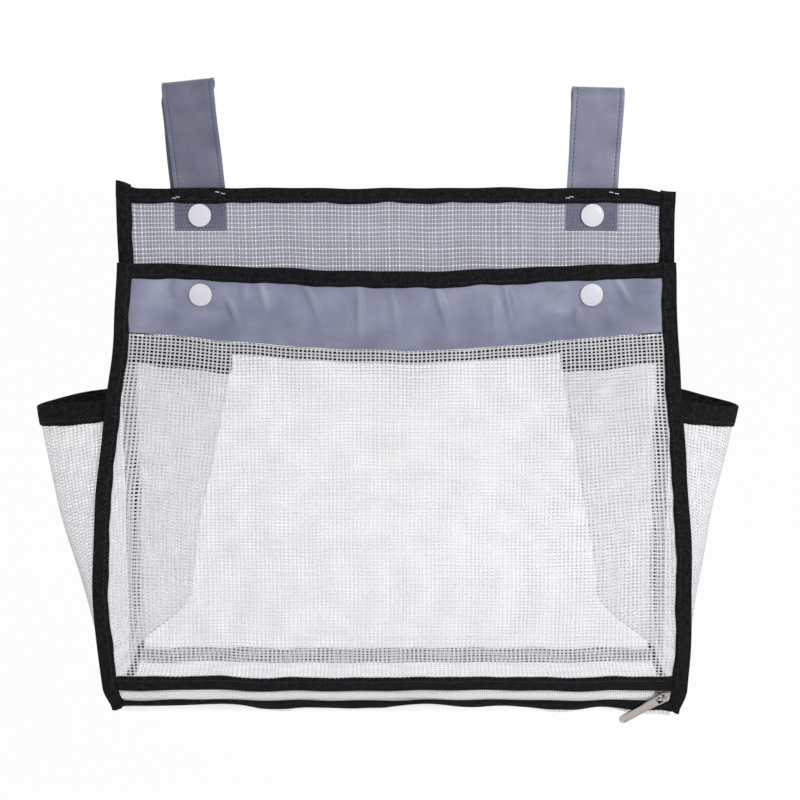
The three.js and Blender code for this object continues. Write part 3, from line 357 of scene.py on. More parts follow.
def twill_scale(pitch):
    """Scale of a diagonal Wave texture whose ridges lie a pitch apart: its sine runs over 10 (x + y)."""
    return 2 * np.pi / (10 * np.sqrt(2) * pitch)


print("material helpers ready")

# %% [markdown]
# ### Edge tape
#
# The edge tape is matt polyester twill: nearly black, with fine diagonal ribs that only show where light
# grazes them. A plain black would lose the folds, so a painted highlight greys the rib crests in spots of
# about 3 mm.

# %% Tape material
# In millimetres: the ribs lie a pitch apart, and seven spots of painted highlight lie on 20 mm of tape.
RIB_PITCH, RIB_HIGHLIGHT_SIZE = 1.2, 20 / 7


def polyester_twill_tape():
    """Matt black polyester twill: ribs drawn 1.2 mm apart so that they show, with a painted highlight that
    greys the crests of some.
    """
    material, tree, shader = new_material("polyester_twill_tape", {
        "Roughness": 0.8, "Specular IOR Level": 0.06,
    })
    place = add_node(tree, "ShaderNodeTexCoord").outputs["UV"]
    ribs = add_node(tree, "ShaderNodeTexWave", {"bands_direction": "DIAGONAL"},
                    {"Vector": place, "Scale": twill_scale(RIB_PITCH), "Distortion": 3.0, "Detail": 3.0})
    rib_highlight = add_node(tree, "ShaderNodeTexNoise", None,
                    {"Vector": place, "Scale": 1 / RIB_HIGHLIGHT_SIZE, "Detail": 5.0})
    both = add_node(tree, "ShaderNodeMath", {"operation": "MULTIPLY"},
                    {0: ribs.outputs["Fac"], 1: rib_highlight.outputs["Fac"]})
    # Painted highlight: where the rib crests meet the noise spots, the black colour turns grey.
    colour = add_node(tree, "ShaderNodeValToRGB", None, {"Fac": both.outputs[0]},
                      ((0.25, "#0c0c0d"), (0.7, "#38383b")))
    bump = add_node(tree, "ShaderNodeBump", None,
                    {"Height": ribs.outputs["Fac"], "Strength": 0.6, "Distance": 0.00025})
    tree.links.new(colour.outputs["Color"], shader.inputs["Base Color"])
    tree.links.new(bump.outputs["Normal"], shader.inputs["Normal"])
    return material


tape_finish = polyester_twill_tape()
print("finish:", tape_finish.name)

# %% [markdown]
# ### Satin
#
# The satin band and straps are nylon: a soft shine that changes along each crease and a faint diagonal
# weave. The straps take darker copies of the same satin, with shade painted into their colour: the right
# strap a little darker than the band, the left strap much darker.

# %% Satin material
# In millimetres: the weave's pitch and the size of the clouds of shine.
WEAVE_PITCH, CLOUD_SIZE = 1.4, 20
WEAVE_SHARE = 0.2


def satin_nylon(name, dark, light):
    """Grey satin nylon: a diagonal weave drawn 1.4 mm apart so that it shows, and cloudy changes of shine."""
    material, tree, shader = new_material(name, {
        "Roughness": 0.46, "Specular IOR Level": 0.45, "Sheen Weight": 0.35, "Sheen Roughness": 0.35,
    })
    place = add_node(tree, "ShaderNodeTexCoord").outputs["UV"]
    turned_over = add_node(tree, "ShaderNodeMapping", None, {"Vector": place, "Scale": (-1.0, 1.0, 1.0)})
    weave = add_node(tree, "ShaderNodeTexWave", {"bands_direction": "DIAGONAL"},
                     {"Vector": turned_over.outputs["Vector"], "Scale": twill_scale(WEAVE_PITCH),
                      "Distortion": 1.6, "Detail": 1.0})
    cloud = add_node(tree, "ShaderNodeTexNoise", None,
                     {"Vector": place, "Scale": 1 / CLOUD_SIZE, "Detail": 4.0})
    shade = add_node(tree, "ShaderNodeMath", {"operation": "MULTIPLY_ADD"},
                     {0: weave.outputs["Fac"], 1: WEAVE_SHARE, 2: cloud.outputs["Fac"]})
    colour = add_node(tree, "ShaderNodeValToRGB", None, {"Fac": shade.outputs[0]},
                      ((0.35, dark), (0.85, light)))
    bump = add_node(tree, "ShaderNodeBump", None,
                    {"Height": shade.outputs[0], "Strength": 0.25, "Distance": 0.0003})
    tree.links.new(colour.outputs["Color"], shader.inputs["Base Color"])
    tree.links.new(bump.outputs["Normal"], shader.inputs["Normal"])
    return material


satin_finish = satin_nylon("satin_nylon", "#74778f", "#9295aa")
# Painted shade: the strap copies are darker than the band's satin, the left strap's copy most.
shaded_strap_finish = satin_nylon("satin_nylon_painted_shade", "#565a6d", "#747789")
strap_finish = satin_nylon("satin_nylon_strap", "#6b6e83", "#86899b")
print("finishes:", satin_finish.name, shaded_strap_finish.name, strap_finish.name)

# %% [markdown]
# ### Coated yarn
#
# The nets are polyester yarns dipped in soft vinyl, which is smooth, slightly glossy and partly clear: a
# black tape behind a net shows through the yarns as well as through the holes. Real refraction in yarns
# this thin would only cost time, so the vinyl is partly transparent.

# %% Yarn material
# In millimetres: three patches of whiteness lie on 50 mm of yarn.
PATCH_SIZE = 50 / 3


def vinyl_coated_yarn(name, dark, light, clear):
    """Yarn dipped in soft vinyl: smooth, a little glossy, with slight uneven whiteness along each yarn. Clear
    is the share of light that comes straight through one wall of the thin yarn."""
    material, tree, shader = new_material(name, {
        "Roughness": 0.42, "Specular IOR Level": 0.45, "Alpha": 1 - clear,
    })
    place = add_node(tree, "ShaderNodeTexCoord").outputs["Object"]
    patches = add_node(tree, "ShaderNodeTexNoise", None,
                       {"Vector": place, "Scale": 1 / (PATCH_SIZE * MM), "Detail": 3.0})
    colour = add_node(tree, "ShaderNodeValToRGB", None, {"Fac": patches.outputs["Fac"]},
                      ((0.3, dark), (0.7, light)))
    tree.links.new(colour.outputs["Color"], shader.inputs["Base Color"])
    return material


white_net_finish = vinyl_coated_yarn("white_vinyl_net", "#f1f1f6", "#fbfbfe", 0.6)
grey_net_finish = vinyl_coated_yarn("grey_vinyl_net", "#767990", "#888ba1", 0.62)
print("finishes:", white_net_finish.name, grey_net_finish.name)

# %% [markdown]
# ### Plastic and thread
#
# The snaps are moulded acetal, white with a soft gloss. The zipper and the sewing threads are spun or drawn
# nylon, matt, and shaded by their twist, which tells a thread from a painted line.

# %% Plastic and thread
# In millimetres: nine dimples of the mould lie on 10 mm, and the thread's twist has its pitch.
PEEL_SIZE, TWIST_PITCH = 10 / 9, 0.6


def moulded_acetal():
    """White moulded acetal: a soft gloss, broken by the faint orange peel of the mould."""
    material, tree, shader = new_material("moulded_acetal", {
        "Base Color": linear("#dadae0"), "Roughness": 0.25, "Subsurface Weight": 0.1,
        "Subsurface Scale": 0.001,
    })
    place = add_node(tree, "ShaderNodeTexCoord").outputs["Object"]
    peel = add_node(tree, "ShaderNodeTexNoise", None,
                    {"Vector": place, "Scale": 1 / (PEEL_SIZE * MM), "Detail": 2.0})
    bump = add_node(tree, "ShaderNodeBump", None,
                    {"Height": peel.outputs["Fac"], "Strength": 0.12, "Distance": 0.0001})
    tree.links.new(bump.outputs["Normal"], shader.inputs["Normal"])
    return material


def spun_thread(name, dark, light):
    """Spun sewing thread or zipper nylon: matt, with the shade of its twist every 0.6 mm."""
    material, tree, shader = new_material(name, {"Roughness": 0.6, "Specular IOR Level": 0.35})
    place = add_node(tree, "ShaderNodeTexCoord").outputs["UV"]
    twist = add_node(tree, "ShaderNodeTexWave", {"bands_direction": "DIAGONAL"},
                     {"Vector": place, "Scale": twill_scale(TWIST_PITCH), "Distortion": 0.4})
    colour = add_node(tree, "ShaderNodeValToRGB", None, {"Fac": twist.outputs["Fac"]},
                      ((0, dark), (1, light)))
    tree.links.new(colour.outputs["Color"], shader.inputs["Base Color"])
    return material


snap_finish = moulded_acetal()
nylon_finish = spun_thread("zipper_nylon", "#f6f6f8", "#fefeff")
black_thread = spun_thread("black_thread", "#0d0d0e", "#2b2b2d")
# The grey thread's dark colour is partly its own and partly painted shade of the stitch groove it lies in.
grey_thread = spun_thread("grey_thread", "#3d4052", "#5c5f72")
white_thread = spun_thread("white_thread", "#d8d8da", "#f4f4f5")
print("finishes:", snap_finish.name, nylon_finish.name, "and three threads")

# %% [markdown]
# ### Metal
#
# The slider and its pull are zinc castings with a nickel plate, which shows fine scratches from use. The
# scratches are noise drawn out along the casting, and they change both its slope and its polish.

# %% Metal
# In millimetres: three scratches lie on 10 mm across the casting, and twelve on 5 mm of its height.
SCRATCH_SIZE = np.array([10 / 3, 10 / 3, 5 / 12])


def nickel_plate():
    """Nickel plate on a zinc casting: warm grey metal with fine scratches along it."""
    material, tree, shader = new_material("nickel_plate", {"Base Color": linear("#b9b2ad"), "Metallic": 1.0})
    place = add_node(tree, "ShaderNodeTexCoord").outputs["Object"]
    drawn_out = add_node(tree, "ShaderNodeMapping", None, {"Vector": place, "Scale": 1 / (SCRATCH_SIZE * MM)})
    scratch = add_node(tree, "ShaderNodeTexNoise", None,
                       {"Vector": drawn_out.outputs["Vector"], "Scale": 1.0, "Detail": 4.0})
    bump = add_node(tree, "ShaderNodeBump", None,
                    {"Height": scratch.outputs["Fac"], "Strength": 0.2, "Distance": 0.00006})
    worn = add_node(tree, "ShaderNodeMapRange", None,
                    {"Value": scratch.outputs["Fac"], "To Min": 0.2, "To Max": 0.38})
    tree.links.new(worn.outputs["Result"], shader.inputs["Roughness"])
    tree.links.new(bump.outputs["Normal"], shader.inputs["Normal"])
    return material


metal_finish = nickel_plate()
print("finish:", metal_finish.name)

# %% [markdown]
# ## Nets
#
# A net is a plain weave of thick yarns with open squares. Drawing it as an image with holes would look
# flat from the side, so each yarn is a real tube. It is laid on a grid of points that describes the cloth,
# so the first helpers read such a grid: its directions, its points in between and its flat size.


# %% Reading a grid
def unit(vectors):
    """The given vectors, each brought to a length of 1."""
    return vectors / np.maximum(np.linalg.norm(vectors, axis=-1, keepdims=True), 1e-9)


def directions(grid):
    """Unit vectors down and across a grid of points (row, column, xyz), and their normal."""
    down = np.gradient(grid, axis=0)
    across = np.gradient(grid, axis=1)
    return [unit(vectors) for vectors in (down, across, np.cross(across, down))]


def sampled(grid, down, across):
    """Reads a grid between its corners, where down and across run from 0 to 1: a bilinear blend of four."""
    rows, columns = grid.shape[:2]
    r, c = down * (rows - 1), across * (columns - 1)
    r0 = np.minimum(r.astype(int), rows - 2)
    c0 = np.minimum(c.astype(int), columns - 2)
    fr, fc = (r - r0)[..., None], (c - c0)[..., None]
    upper = grid[r0, c0] * (1 - fc) + grid[r0, c0 + 1] * fc
    lower = grid[r0 + 1, c0] * (1 - fc) + grid[r0 + 1, c0 + 1] * fc
    return upper * (1 - fr) + lower * fr


def evened(grid):
    """Slides the points of each row along it until they lie the same length apart."""
    even = np.linspace(0, 1, grid.shape[1])
    rows = []
    for row in grid:
        run = lengths(row)
        rows.append(np.stack([np.interp(even, run / run[-1], row[:, k]) for k in range(3)], -1))
    return np.array(rows)


def surface_grid(point, us, vs):
    """A grid of point(u, v) with u across and v down."""
    u, v = np.meshgrid(us, vs)
    return point(u, v)


def flat_size(grid):
    """Mean lengths across and down a grid, in millimetres."""
    across = np.linalg.norm(np.diff(grid, axis=1), axis=-1).sum(axis=1).mean()
    down = np.linalg.norm(np.diff(grid, axis=0), axis=-1).sum(axis=0).mean()
    return across, down


print("grid helpers ready")

# %% [markdown]
# The upright yarns weave over and under the cross yarns, which stay straight. On the real net both bend,
# but bending one set is enough for the eye and keeps the pieces light. Each yarn is a little astray.

# %% Weaving
YARN_THICK, CRIMP, YARN_STRAY = 0.42, 0.2, 0.09
# Each net: the pitch and the width of its upright and cross yarns, its finish and its slot.
WHITE_NET = ((2.65, 2.2), (1.02, 0.94), white_net_finish, "white_net")
GREY_NET = ((2.1, 2.6), (1.6, 2.05), grey_net_finish, "grey_net")
yarn_chance = np.random.default_rng(7)


def yarn_places(count):
    """Places from 0 to 1 along an edge, one in the middle of each equal step, each astray by a random bit."""
    return (np.arange(count) + 0.5 + yarn_chance.uniform(-YARN_STRAY, YARN_STRAY, count)) / count


def woven_net(grid, pitch, yarn):
    """A plain weave on a grid: uprights at even places across, lifted by the crimp to either side of the
    surface at each crossing in turn, and straight cross yarns between them."""
    uprights, crossings = (int(round(length / step)) for length, step in zip(flat_size(grid), pitch))
    column, row = yarn_places(uprights), yarn_places(crossings)
    down, across, normal = directions(grid)
    d, c = np.meshgrid(np.concatenate([[0], row, [1]]), column)
    lift = CRIMP * (-1.0) ** np.add.outer(np.arange(uprights), np.arange(crossings + 2))
    lift[:, [0, -1]] = 0
    lean = sampled(normal, d, c)
    path = sampled(grid, d, c) + lean * lift[..., None]
    upright_part = yarn_tubes(path, sampled(across, d, c), lean, yarn[0], YARN_THICK)
    c, d = np.meshgrid(np.concatenate([[0], column[1::2], [1]]), row)
    cross_part = yarn_tubes(sampled(grid, d, c), sampled(down, d, c), sampled(normal, d, c),
                            yarn[1], YARN_THICK)
    return joined(upright_part, cross_part)


def add_net(node, grid, net):
    """Weaves the net that stands for a frame node on a grid."""
    pitch, yarn, finish, slot = net
    piece = add_piece(f"{node}_woven", woven_net(grid, pitch, yarn), finish, slot, "bag", node)


print("nets:", WHITE_NET[3], WHITE_NET[0], GREY_NET[3], GREY_NET[0])

# %% [markdown]
# ### Back panel
#
# The back hangs flat. Its upper part is a grey net with narrow slits between flat yarns, and its lower part
# is white net. Both are woven on the same flat surface, so the seam between them closes.

# %% Back nets
PANEL_XS = np.linspace(-EDGE, EDGE, 160)


def back_cloth(x, drop):
    """The flat back panel, settled."""
    x, drop = np.broadcast_arrays(x, drop)
    return settle(np.stack([x, np.full(x.shape, Y_BACK), TOP - drop], axis=-1))


upper_back = surface_grid(back_cloth, PANEL_XS, np.linspace(TAPE_TURN, HINGE_DROP, 50))
add_net("back_band", upper_back, GREY_NET)
lower_back = surface_grid(back_cloth, PANEL_XS, np.linspace(HINGE_DROP + GAP, FIN_DROP, 110))
add_net("back_net", lower_back, WHITE_NET)

# %% [markdown]
# ### Front panel
#
# The front is sewn to the gussets along its sides, so its side edges follow their curve, and it bulges
# between them as a filled bag does. Its upper edge sags where the satin band is sewn on. Sines and powers
# give these bulges, because each can be set to end flat at a seam.


# %% Front net
def depth_at(drop):
    """How far the front's side edge stands before the back: a straight slope plus a sine bulge."""
    s = (drop - HINGE_DROP) / (FIN_DROP - HINGE_DROP)
    belly = np.sin(np.pi * np.maximum(s, 0) ** EDGE_BULGE_SKEW)
    return mix(MOUTH_DEPTH, FLOOR_DEPTH, s) + EDGE_BULGE * belly


def swell_at(x):
    """Swell across the width, (1 - (x / field)^2)^1.5: 1 in the middle and 0 at the side tapes."""
    return np.maximum(0, 1 - (x / FIELD) ** 2) ** 1.5


def front_cloth(x, drop):
    """The front net: the edge depth, a bulge across and down, and a sag at the top, settled."""
    swell = swell_at(x)
    s = (drop - HINGE_DROP) / (NET_BOTTOM_DROP - HINGE_DROP)
    bulge = mix(HINGE_BULGE, 0, s) + NET_BULGE * np.sin(np.pi * np.clip(s, 0, 1)) ** 2
    y = Y_BACK - depth_at(drop) - bulge * swell
    z = TOP - drop - HINGE_SAG * swell * (1 - s)
    return settle(np.stack(np.broadcast_arrays(x, y, z), axis=-1))


front_grid = surface_grid(front_cloth, PANEL_XS, np.linspace(HINGE_DROP + GAP, NET_BOTTOM_DROP, 110))
add_net("front_net", front_grid, WHITE_NET)

# %% [markdown]
# ### Gussets
#
# Each side is one net folded inwards down its middle, so that the bag can fold flat. The fold has straight
# legs and a round end, and it opens out towards the floor. Its upper edge droops where elastic draws it in.
# A circle with two tangent lines gives the fold at each height, and its seams stay where the frame has them.

# %% Gusset nets
GUSSET_WIDTH = 132
GUSSET_DROOP, GUSSET_DROOP_REACH = 10, 70
PLEAT_FLATTENS, PLEAT_LEAST, PLEAT_RADII = (0.7, 0.94), 1, (4, 30)
BEND_CLEAR = 0.7
BEND = HALF - INNER_LEG - BEND_CLEAR


def slope_at(drop):
    """How much deeper the front's side edge gets over the millimetre around a drop."""
    return depth_at(drop + 0.5) - depth_at(drop - 0.5)


def front_edge(drop, set_back):
    """Depth and height of the front's side edge, set back along its slope's normal."""
    slope = slope_at(drop)
    length = np.hypot(1, slope)
    return Y_BACK - depth_at(drop) + set_back / length, TOP - drop - set_back * slope / length


def pleat_at(drop):
    """Half width, reach and end radius of the pleat at a drop."""
    half = (depth_at(drop) - 2 * FLANGE_SET) / 2
    v = (drop - GUSSET_DROP) / (FIN_DROP - GUSSET_DROP)
    free = np.sqrt((GUSSET_WIDTH / 2) ** 2 - half ** 2)
    fold = np.maximum(PLEAT_LEAST, free * (1 - smooth(v, *PLEAT_FLATTENS)))
    return half, fold, mix(*PLEAT_RADII, v ** 2)


def pleat_in(q, half, fold, radius):
    """How far the pleat reaches in at q between its seams: a circle at the fold and tangent legs."""
    centre = fold - radius
    leg = np.arctan2(half, centre) - np.arcsin(radius / np.hypot(centre, half))
    turn = radius * np.cos(leg)
    arc = centre + np.sqrt(np.maximum(0, radius ** 2 - q ** 2))
    return np.where(np.abs(q) < turn, arc, (half - np.abs(q)) / np.tan(leg))


def gusset_cloth(side, station, drop):
    """A gusset point: station runs from -1 at the front seam to 1 at the back seam."""
    front_y, front_z = front_edge(drop, FLANGE_SET)
    half, fold, radius = pleat_at(drop)
    inward = pleat_in(station * half, half, fold, radius)
    fade = 1 - smooth(drop, GUSSET_DROP, GUSSET_DROP + GUSSET_DROOP_REACH)
    y = mix(front_y, Y_BACK - FLANGE_SET, (station + 1) / 2)
    z = mix(front_z, TOP - drop, (station + 1) / 2) - GUSSET_DROOP * fade * inward / fold
    return settle(np.stack(np.broadcast_arrays(side * (BEND - inward), y, z), axis=-1))


for name, side in SIDES.items():
    gusset_grid = surface_grid(partial(gusset_cloth, side), np.linspace(-1, 1, 121),
                               np.linspace(GUSSET_DROP, FIN_DROP, 110))
    add_net(f"gusset_{name}", evened(gusset_grid), WHITE_NET)

# %% [markdown]
# ### Side pockets
#
# A pouch of the same net stands out over each gusset. It is widest at its mouth, where elastic holds it,
# and narrows to the place where it is sewn onto the pleat. A power of a cosine gives an arch with steep
# ends, so the pouch leaves its seams as a full one does.

# %% Pocket nets
POCKET_DROP, POCKET_HEIGHT, POCKET_REACH, POCKET_DROOP = 126, 147, 42, 7
POCKET_CLOSE, POCKET_FOOT_REACH, POCKET_ROUND, POCKET_SPAN = 4, 2, 0.6, 0.999
POCKET_SET, POCKET_LAP = 3.5, 3 * NET
POCKET_WALL = POCKET_HEIGHT - POCKET_CLOSE


def pocket_cloth(side, station, drop):
    """A pocket point: a cosine arch from seam to seam that narrows with the drop and closes onto the
    pleat."""
    wall = np.minimum((drop - POCKET_DROP) / POCKET_WALL, 1)
    closing = np.maximum(0, (drop - POCKET_DROP - POCKET_WALL) / POCKET_CLOSE)
    swell = np.cos(np.pi / 2 * station * POCKET_SPAN) ** POCKET_ROUND
    level = drop + POCKET_DROOP * swell * (1 - wall)
    front_y, front_z = front_edge(level, POCKET_SET)
    y = mix(front_y, Y_BACK - POCKET_SET, (station + 1) / 2)
    half, fold, radius = pleat_at(level)
    middle = (front_edge(level, FLANGE_SET)[0] + Y_BACK - FLANGE_SET) / 2
    on_pleat = BEND - pleat_in(y - middle, half, fold, radius) + POCKET_LAP
    out = HALF - GAP + mix(POCKET_REACH, POCKET_FOOT_REACH, wall) * swell
    x = mix(out, on_pleat, closing)
    z = mix(front_z, TOP - level, (station + 1) / 2)
    return settle(np.stack(np.broadcast_arrays(side * x, y, z), axis=-1))


def arch_stations(count):
    """Stations from -1 to 1 along a sine, close together at the seams, where the arch is steep."""
    return np.sin(np.pi / 2 * np.linspace(-1, 1, count))


for name, side in SIDES.items():
    pocket_grid = surface_grid(partial(pocket_cloth, side), arch_stations(141),
                               np.linspace(POCKET_DROP, POCKET_DROP + POCKET_HEIGHT, 90))
    add_net(f"pocket_{name}", evened(pocket_grid), WHITE_NET)

# %% [markdown]
# ### Floor
#
# The floor starts behind the zipper's lower tape, turns under the front edge and runs back with a sag.
# What lies below the zipper curls under the bag in waves, as loose cloth does. So there are three steps:
# the zipper's own slope, the curl about its lower edge, and a cubic curve with two handles for the section,
# which is swept across the bag.

# %% The zipper's slope and the curl below it
UNDER = ZIPPER_HALF + TAPE_TURN
TUCK = 0.55
# Each pair: the distances below, into the bag and from the slider at which the curl begins or ends.
TUCK_BELOW, TUCK_FADES, TUCK_FREE = (0, 1), (4, 30), (12, 45)
zipper_lean = np.arctan(-slope_at(ZIPPER_DROP))
zipper_y, zipper_z = front_edge(ZIPPER_DROP, 0)


def in_zipper(x, out, up):
    """A point given along the zipper, into the bag and up its slope, in the bag's own frame."""
    y = zipper_y + out * np.cos(zipper_lean) - up * np.sin(zipper_lean)
    z = zipper_z + out * np.sin(zipper_lean) + up * np.cos(zipper_lean)
    return np.stack(np.broadcast_arrays(x, y, z), axis=-1)


def tucked(points):
    """Curls what lies below the zipper under the bag: turns it about the zipper's lower edge by an angle
    that waves along the zipper, fades into the floor and is nothing at the slider."""
    x, y, z = np.moveaxis(points - [0, zipper_y, zipper_z], -1, 0)
    out = y * np.cos(zipper_lean) + z * np.sin(zipper_lean)
    below = -UNDER + y * np.sin(zipper_lean) - z * np.cos(zipper_lean)
    wave = 1 + 0.4 * np.sin(x / 23 + 0.6) + 0.3 * np.sin(x / 9.1)
    near = smooth(below, *TUCK_BELOW) * (1 - smooth(out, *TUCK_FADES))
    angle = TUCK * wave * (near * smooth(np.abs(x - SLIDER_X), *TUCK_FREE))
    turned_out = out * np.cos(angle) + below * np.sin(angle)
    return in_zipper(x, turned_out, -UNDER - below * np.cos(angle) + out * np.sin(angle))


print(f"zipper leans {np.degrees(zipper_lean):.0f} degrees, curl {np.degrees(TUCK):.0f} degrees")

# %% Floor net
FLOOR_SAG, FLOOR_ROUND, FLOOR_RUN, FLOOR_LIP, FLOOR_SEAM_RISE, FLOOR_STRAIGHT = 4, 7, 40, 2, 1.5, 0.15
FLOOR_HALF = BEND - PLEAT_LEAST - NET / 2 - GAP - TAPE - 2 * GAP
floor_lip = in_zipper(0.0, 0.0, -UNDER)
floor_turn = in_zipper(0.0, 0.0, -ZIPPER_HALF - LOWER_BINDING - FLOOR_LIP)
floor_down = unit(floor_turn - floor_lip)


def floor_cloth(u, t):
    """The floor: a straight lip, then a cubic curve under the bag, with a sag in the middle of its width."""
    end = np.array([0, Y_BACK - NET / 2 - GAP, TOP - BAG_HEIGHT + BINDING + FLOOR_SEAM_RISE])
    handles = (floor_turn, floor_turn + floor_down * FLOOR_ROUND, end + [0, -FLOOR_RUN, -FLOOR_SAG], end)
    s = np.maximum(0, (t - FLOOR_STRAIGHT) / (1 - FLOOR_STRAIGHT))[..., None]
    shares = ((1 - s) ** 3, 3 * s * (1 - s) ** 2, 3 * s ** 2 * (1 - s), s ** 3)
    curve = sum(share * handle for share, handle in zip(shares, handles))
    lip = mix(floor_lip, floor_turn, np.minimum(t / FLOOR_STRAIGHT, 1)[..., None])
    path = np.where((t < FLOOR_STRAIGHT)[..., None], lip, curve)
    sag = FLOOR_SAG * np.sin(np.pi * s[..., 0]) ** 2 * (1 - u ** 4)
    return settle(tucked(np.stack([u * FLOOR_HALF, path[..., 1], path[..., 2] - sag], axis=-1)))


floor_grid = surface_grid(floor_cloth, np.linspace(-1, 1, 140), np.linspace(0, 1, 90))
floor_grid = np.swapaxes(evened(np.swapaxes(floor_grid, 0, 1)), 0, 1)
add_net("floor_net", floor_grid, WHITE_NET)

# %% [markdown]
# ## Edge tape
#
# Every raw edge of net or satin is wrapped in folded tape: one leg on each side and a round turn over the
# edge. The builder takes the cloth as a function of a place along the edge and a distance in from it, so
# the tape follows each curve, and it lets the tape's edges wander a little as sewn tape does.

# %% Folded tape
TAPE_PUFF, TAPE_WANDER = 1.12, 0.3
EDGE_ROUND, EDGE_SHARE, TURN_BEGINS, LOOK_AHEAD = 0.5, 0.6, 0.4, 0.5
# Which of a ring's eleven places across the cloth lie at an edge of the tape, and so wander.
AT_EDGES = np.array([1, 1, 1, 0, 0, 0, 0, 0, 1, 1, 1])
TURN = 5


def edge_frames(cloth, ks, insets, facing):
    """Points of the cloth near an edge (station, inset, xyz), their normals on the side that faces a
    direction, and their inward directions."""
    points = cloth(ks[:, None], insets)
    along = np.gradient(points, axis=0)
    inward = cloth(ks[:, None], insets + LOOK_AHEAD) - points
    normal = unit(np.cross(along, inward))
    if normal[0, normal.shape[1] // 2] @ np.asarray(facing) < 0:
        normal = -normal
    return points, normal, unit(inward)


def folded_tape(cloth, ks, layers, legs, facing, narrow=1.0):
    """A ring of sixteen corners at each place: five over the low leg, six round the turn, five over the high
    leg. Heights are the cloth's layers plus the tape, puffed between its edges. Where narrow is below 1, the
    legs are that much shorter."""
    low, high = layers[0] - TAPE_TURN, layers[1] + TAPE_TURN
    low_end, high_end = (leg - TAPE_TURN for leg in legs)
    insets = [low_end, low_end, low_end - EDGE_ROUND, low_end / 2, TURN_BEGINS, 0,
              TURN_BEGINS, high_end / 2, high_end - EDGE_ROUND, high_end, high_end]
    insets = np.broadcast_to(narrow, ks.shape)[:, None] * np.array(insets)
    points, normal, inward = edge_frames(cloth, ks, insets, facing)
    run = lengths(points[:, TURN])[:, None]
    wander = TAPE_WANDER * (np.sin(run / 7.3 + 1.7 * run[-1]) + 0.6 * np.sin(run / 3.1))
    points = points + inward * wander[..., None] * AT_EDGES[:, None]
    heights = [0, low * EDGE_SHARE, low, low * TAPE_PUFF, low, 0,
               high, high * TAPE_PUFF, high, high * EDGE_SHARE, 0]
    over = points + normal * np.array(heights)[:, None]
    angle = np.linspace(0, np.pi, 6)[None, :, None]
    centre, half = (low + high) / 2, (high - low) / 2
    middle = slice(TURN, TURN + 1)
    turn = (points[:, middle] + normal[:, middle] * (centre - half * np.cos(angle))
            - inward[:, middle] * TAPE_TURN * np.sin(angle))
    return ring_tube(np.concatenate([over[:, :TURN], turn, over[:, TURN + 1:]], axis=1))


print(f"tape: {BINDING} mm legs, edges that wander by {TAPE_WANDER} mm")

# %% [markdown]
# A row of stitches holds each tape. Stitches could be a bump in the material, but real threads catch the
# light at grazing angles, so each is a short tube. The rows are kept and joined into one piece later.

# %% Stitched tape
STITCH_INSET, STITCH_LIFT = 2.3, 1.05
FRONT = (0, -1, 0)
SINGLE = (-NET / 2, NET / 2)
LEGS = (BINDING, BINDING)
stitched = []


def stitch_row(points, normal, pitch=2.8, stitch=1.9, width=0.55, lift=0.12):
    """Short threads laid along a line of points: each a bent tube of three points, lifted in its middle."""
    run = lengths(points)
    count = int(run[-1] // pitch)
    place = (np.arange(count)[:, None] + 0.5) * pitch + np.array([-0.5, 0, 0.5]) * stitch
    at = np.stack([np.interp(place, run, points[:, k]) for k in range(3)], -1)
    up = np.stack([np.interp(place, run, normal[:, k]) for k in range(3)], -1)
    side = unit(np.cross((at[:, 2] - at[:, 0])[:, None, :], up))
    paths = at + up * np.array([-lift, lift, -lift])[:, None]
    return yarn_tubes(paths, side, up, width, width)


def tape_stitches(cloth, ks, layers, leg, facing):
    """A row of stitches near a tape's inner edge, on the leg that faces a direction."""
    points, normal, _ = edge_frames(cloth, ks, np.array([[leg - TAPE_TURN - STITCH_INSET]]), facing)
    line, up = points[:, 0], normal[:, 0]
    return stitch_row(line + up * (layers[1] + TAPE_TURN * STITCH_LIFT), up)


def add_tape(name, cloth, ks, layers, legs, facing, node):
    """Sews one folded tape on the bag, and keeps its row of stitches."""
    add_piece(name, folded_tape(cloth, ks, layers, legs, facing), tape_finish, "black_tape", "bag", node)
    stitched.append(tape_stitches(cloth, ks, layers, legs[1], facing))


print("tape builder ready")

# %% [markdown]
# ### Tapes round the back, the gussets and the pockets
#
# The back panel has tape on its four edges. At its sides the tape also takes in the gusset's edge, so it is
# thicker on the inside. The gussets and pockets have wide elastic tape at their upper edges, and the floor
# is bound along both sides. Each tape names its cloth, the way along it and how many layers it wraps.

# %% Back tapes
SIDE_EASE = 0.25
inner_xs = np.linspace(-HALF + BINDING, HALF - BINDING, 120)
add_tape("back_tape_top", lambda x, inset: back_cloth(x, TAPE_TURN + inset), np.linspace(-HALF, HALF, 150),
         SINGLE, LEGS, FRONT, "back_binding_top")
add_tape("back_tape_bottom", lambda x, inset: back_cloth(x, FIN_DROP - inset), inner_xs,
         SINGLE, LEGS, FRONT, "back_binding_bottom")
for name, side in SIDES.items():
    add_tape(f"back_tape_{name}", lambda drop, inset: back_cloth(side * (EDGE - inset), drop),
             np.linspace(-1.0, BAG_HEIGHT - 1, 130), (-NET / 2 - SIDE_EASE, NET / 2 + FLANGE_SET),
             LEGS, FRONT, f"back_binding_{name}")
print("back tapes:", len(stitched))

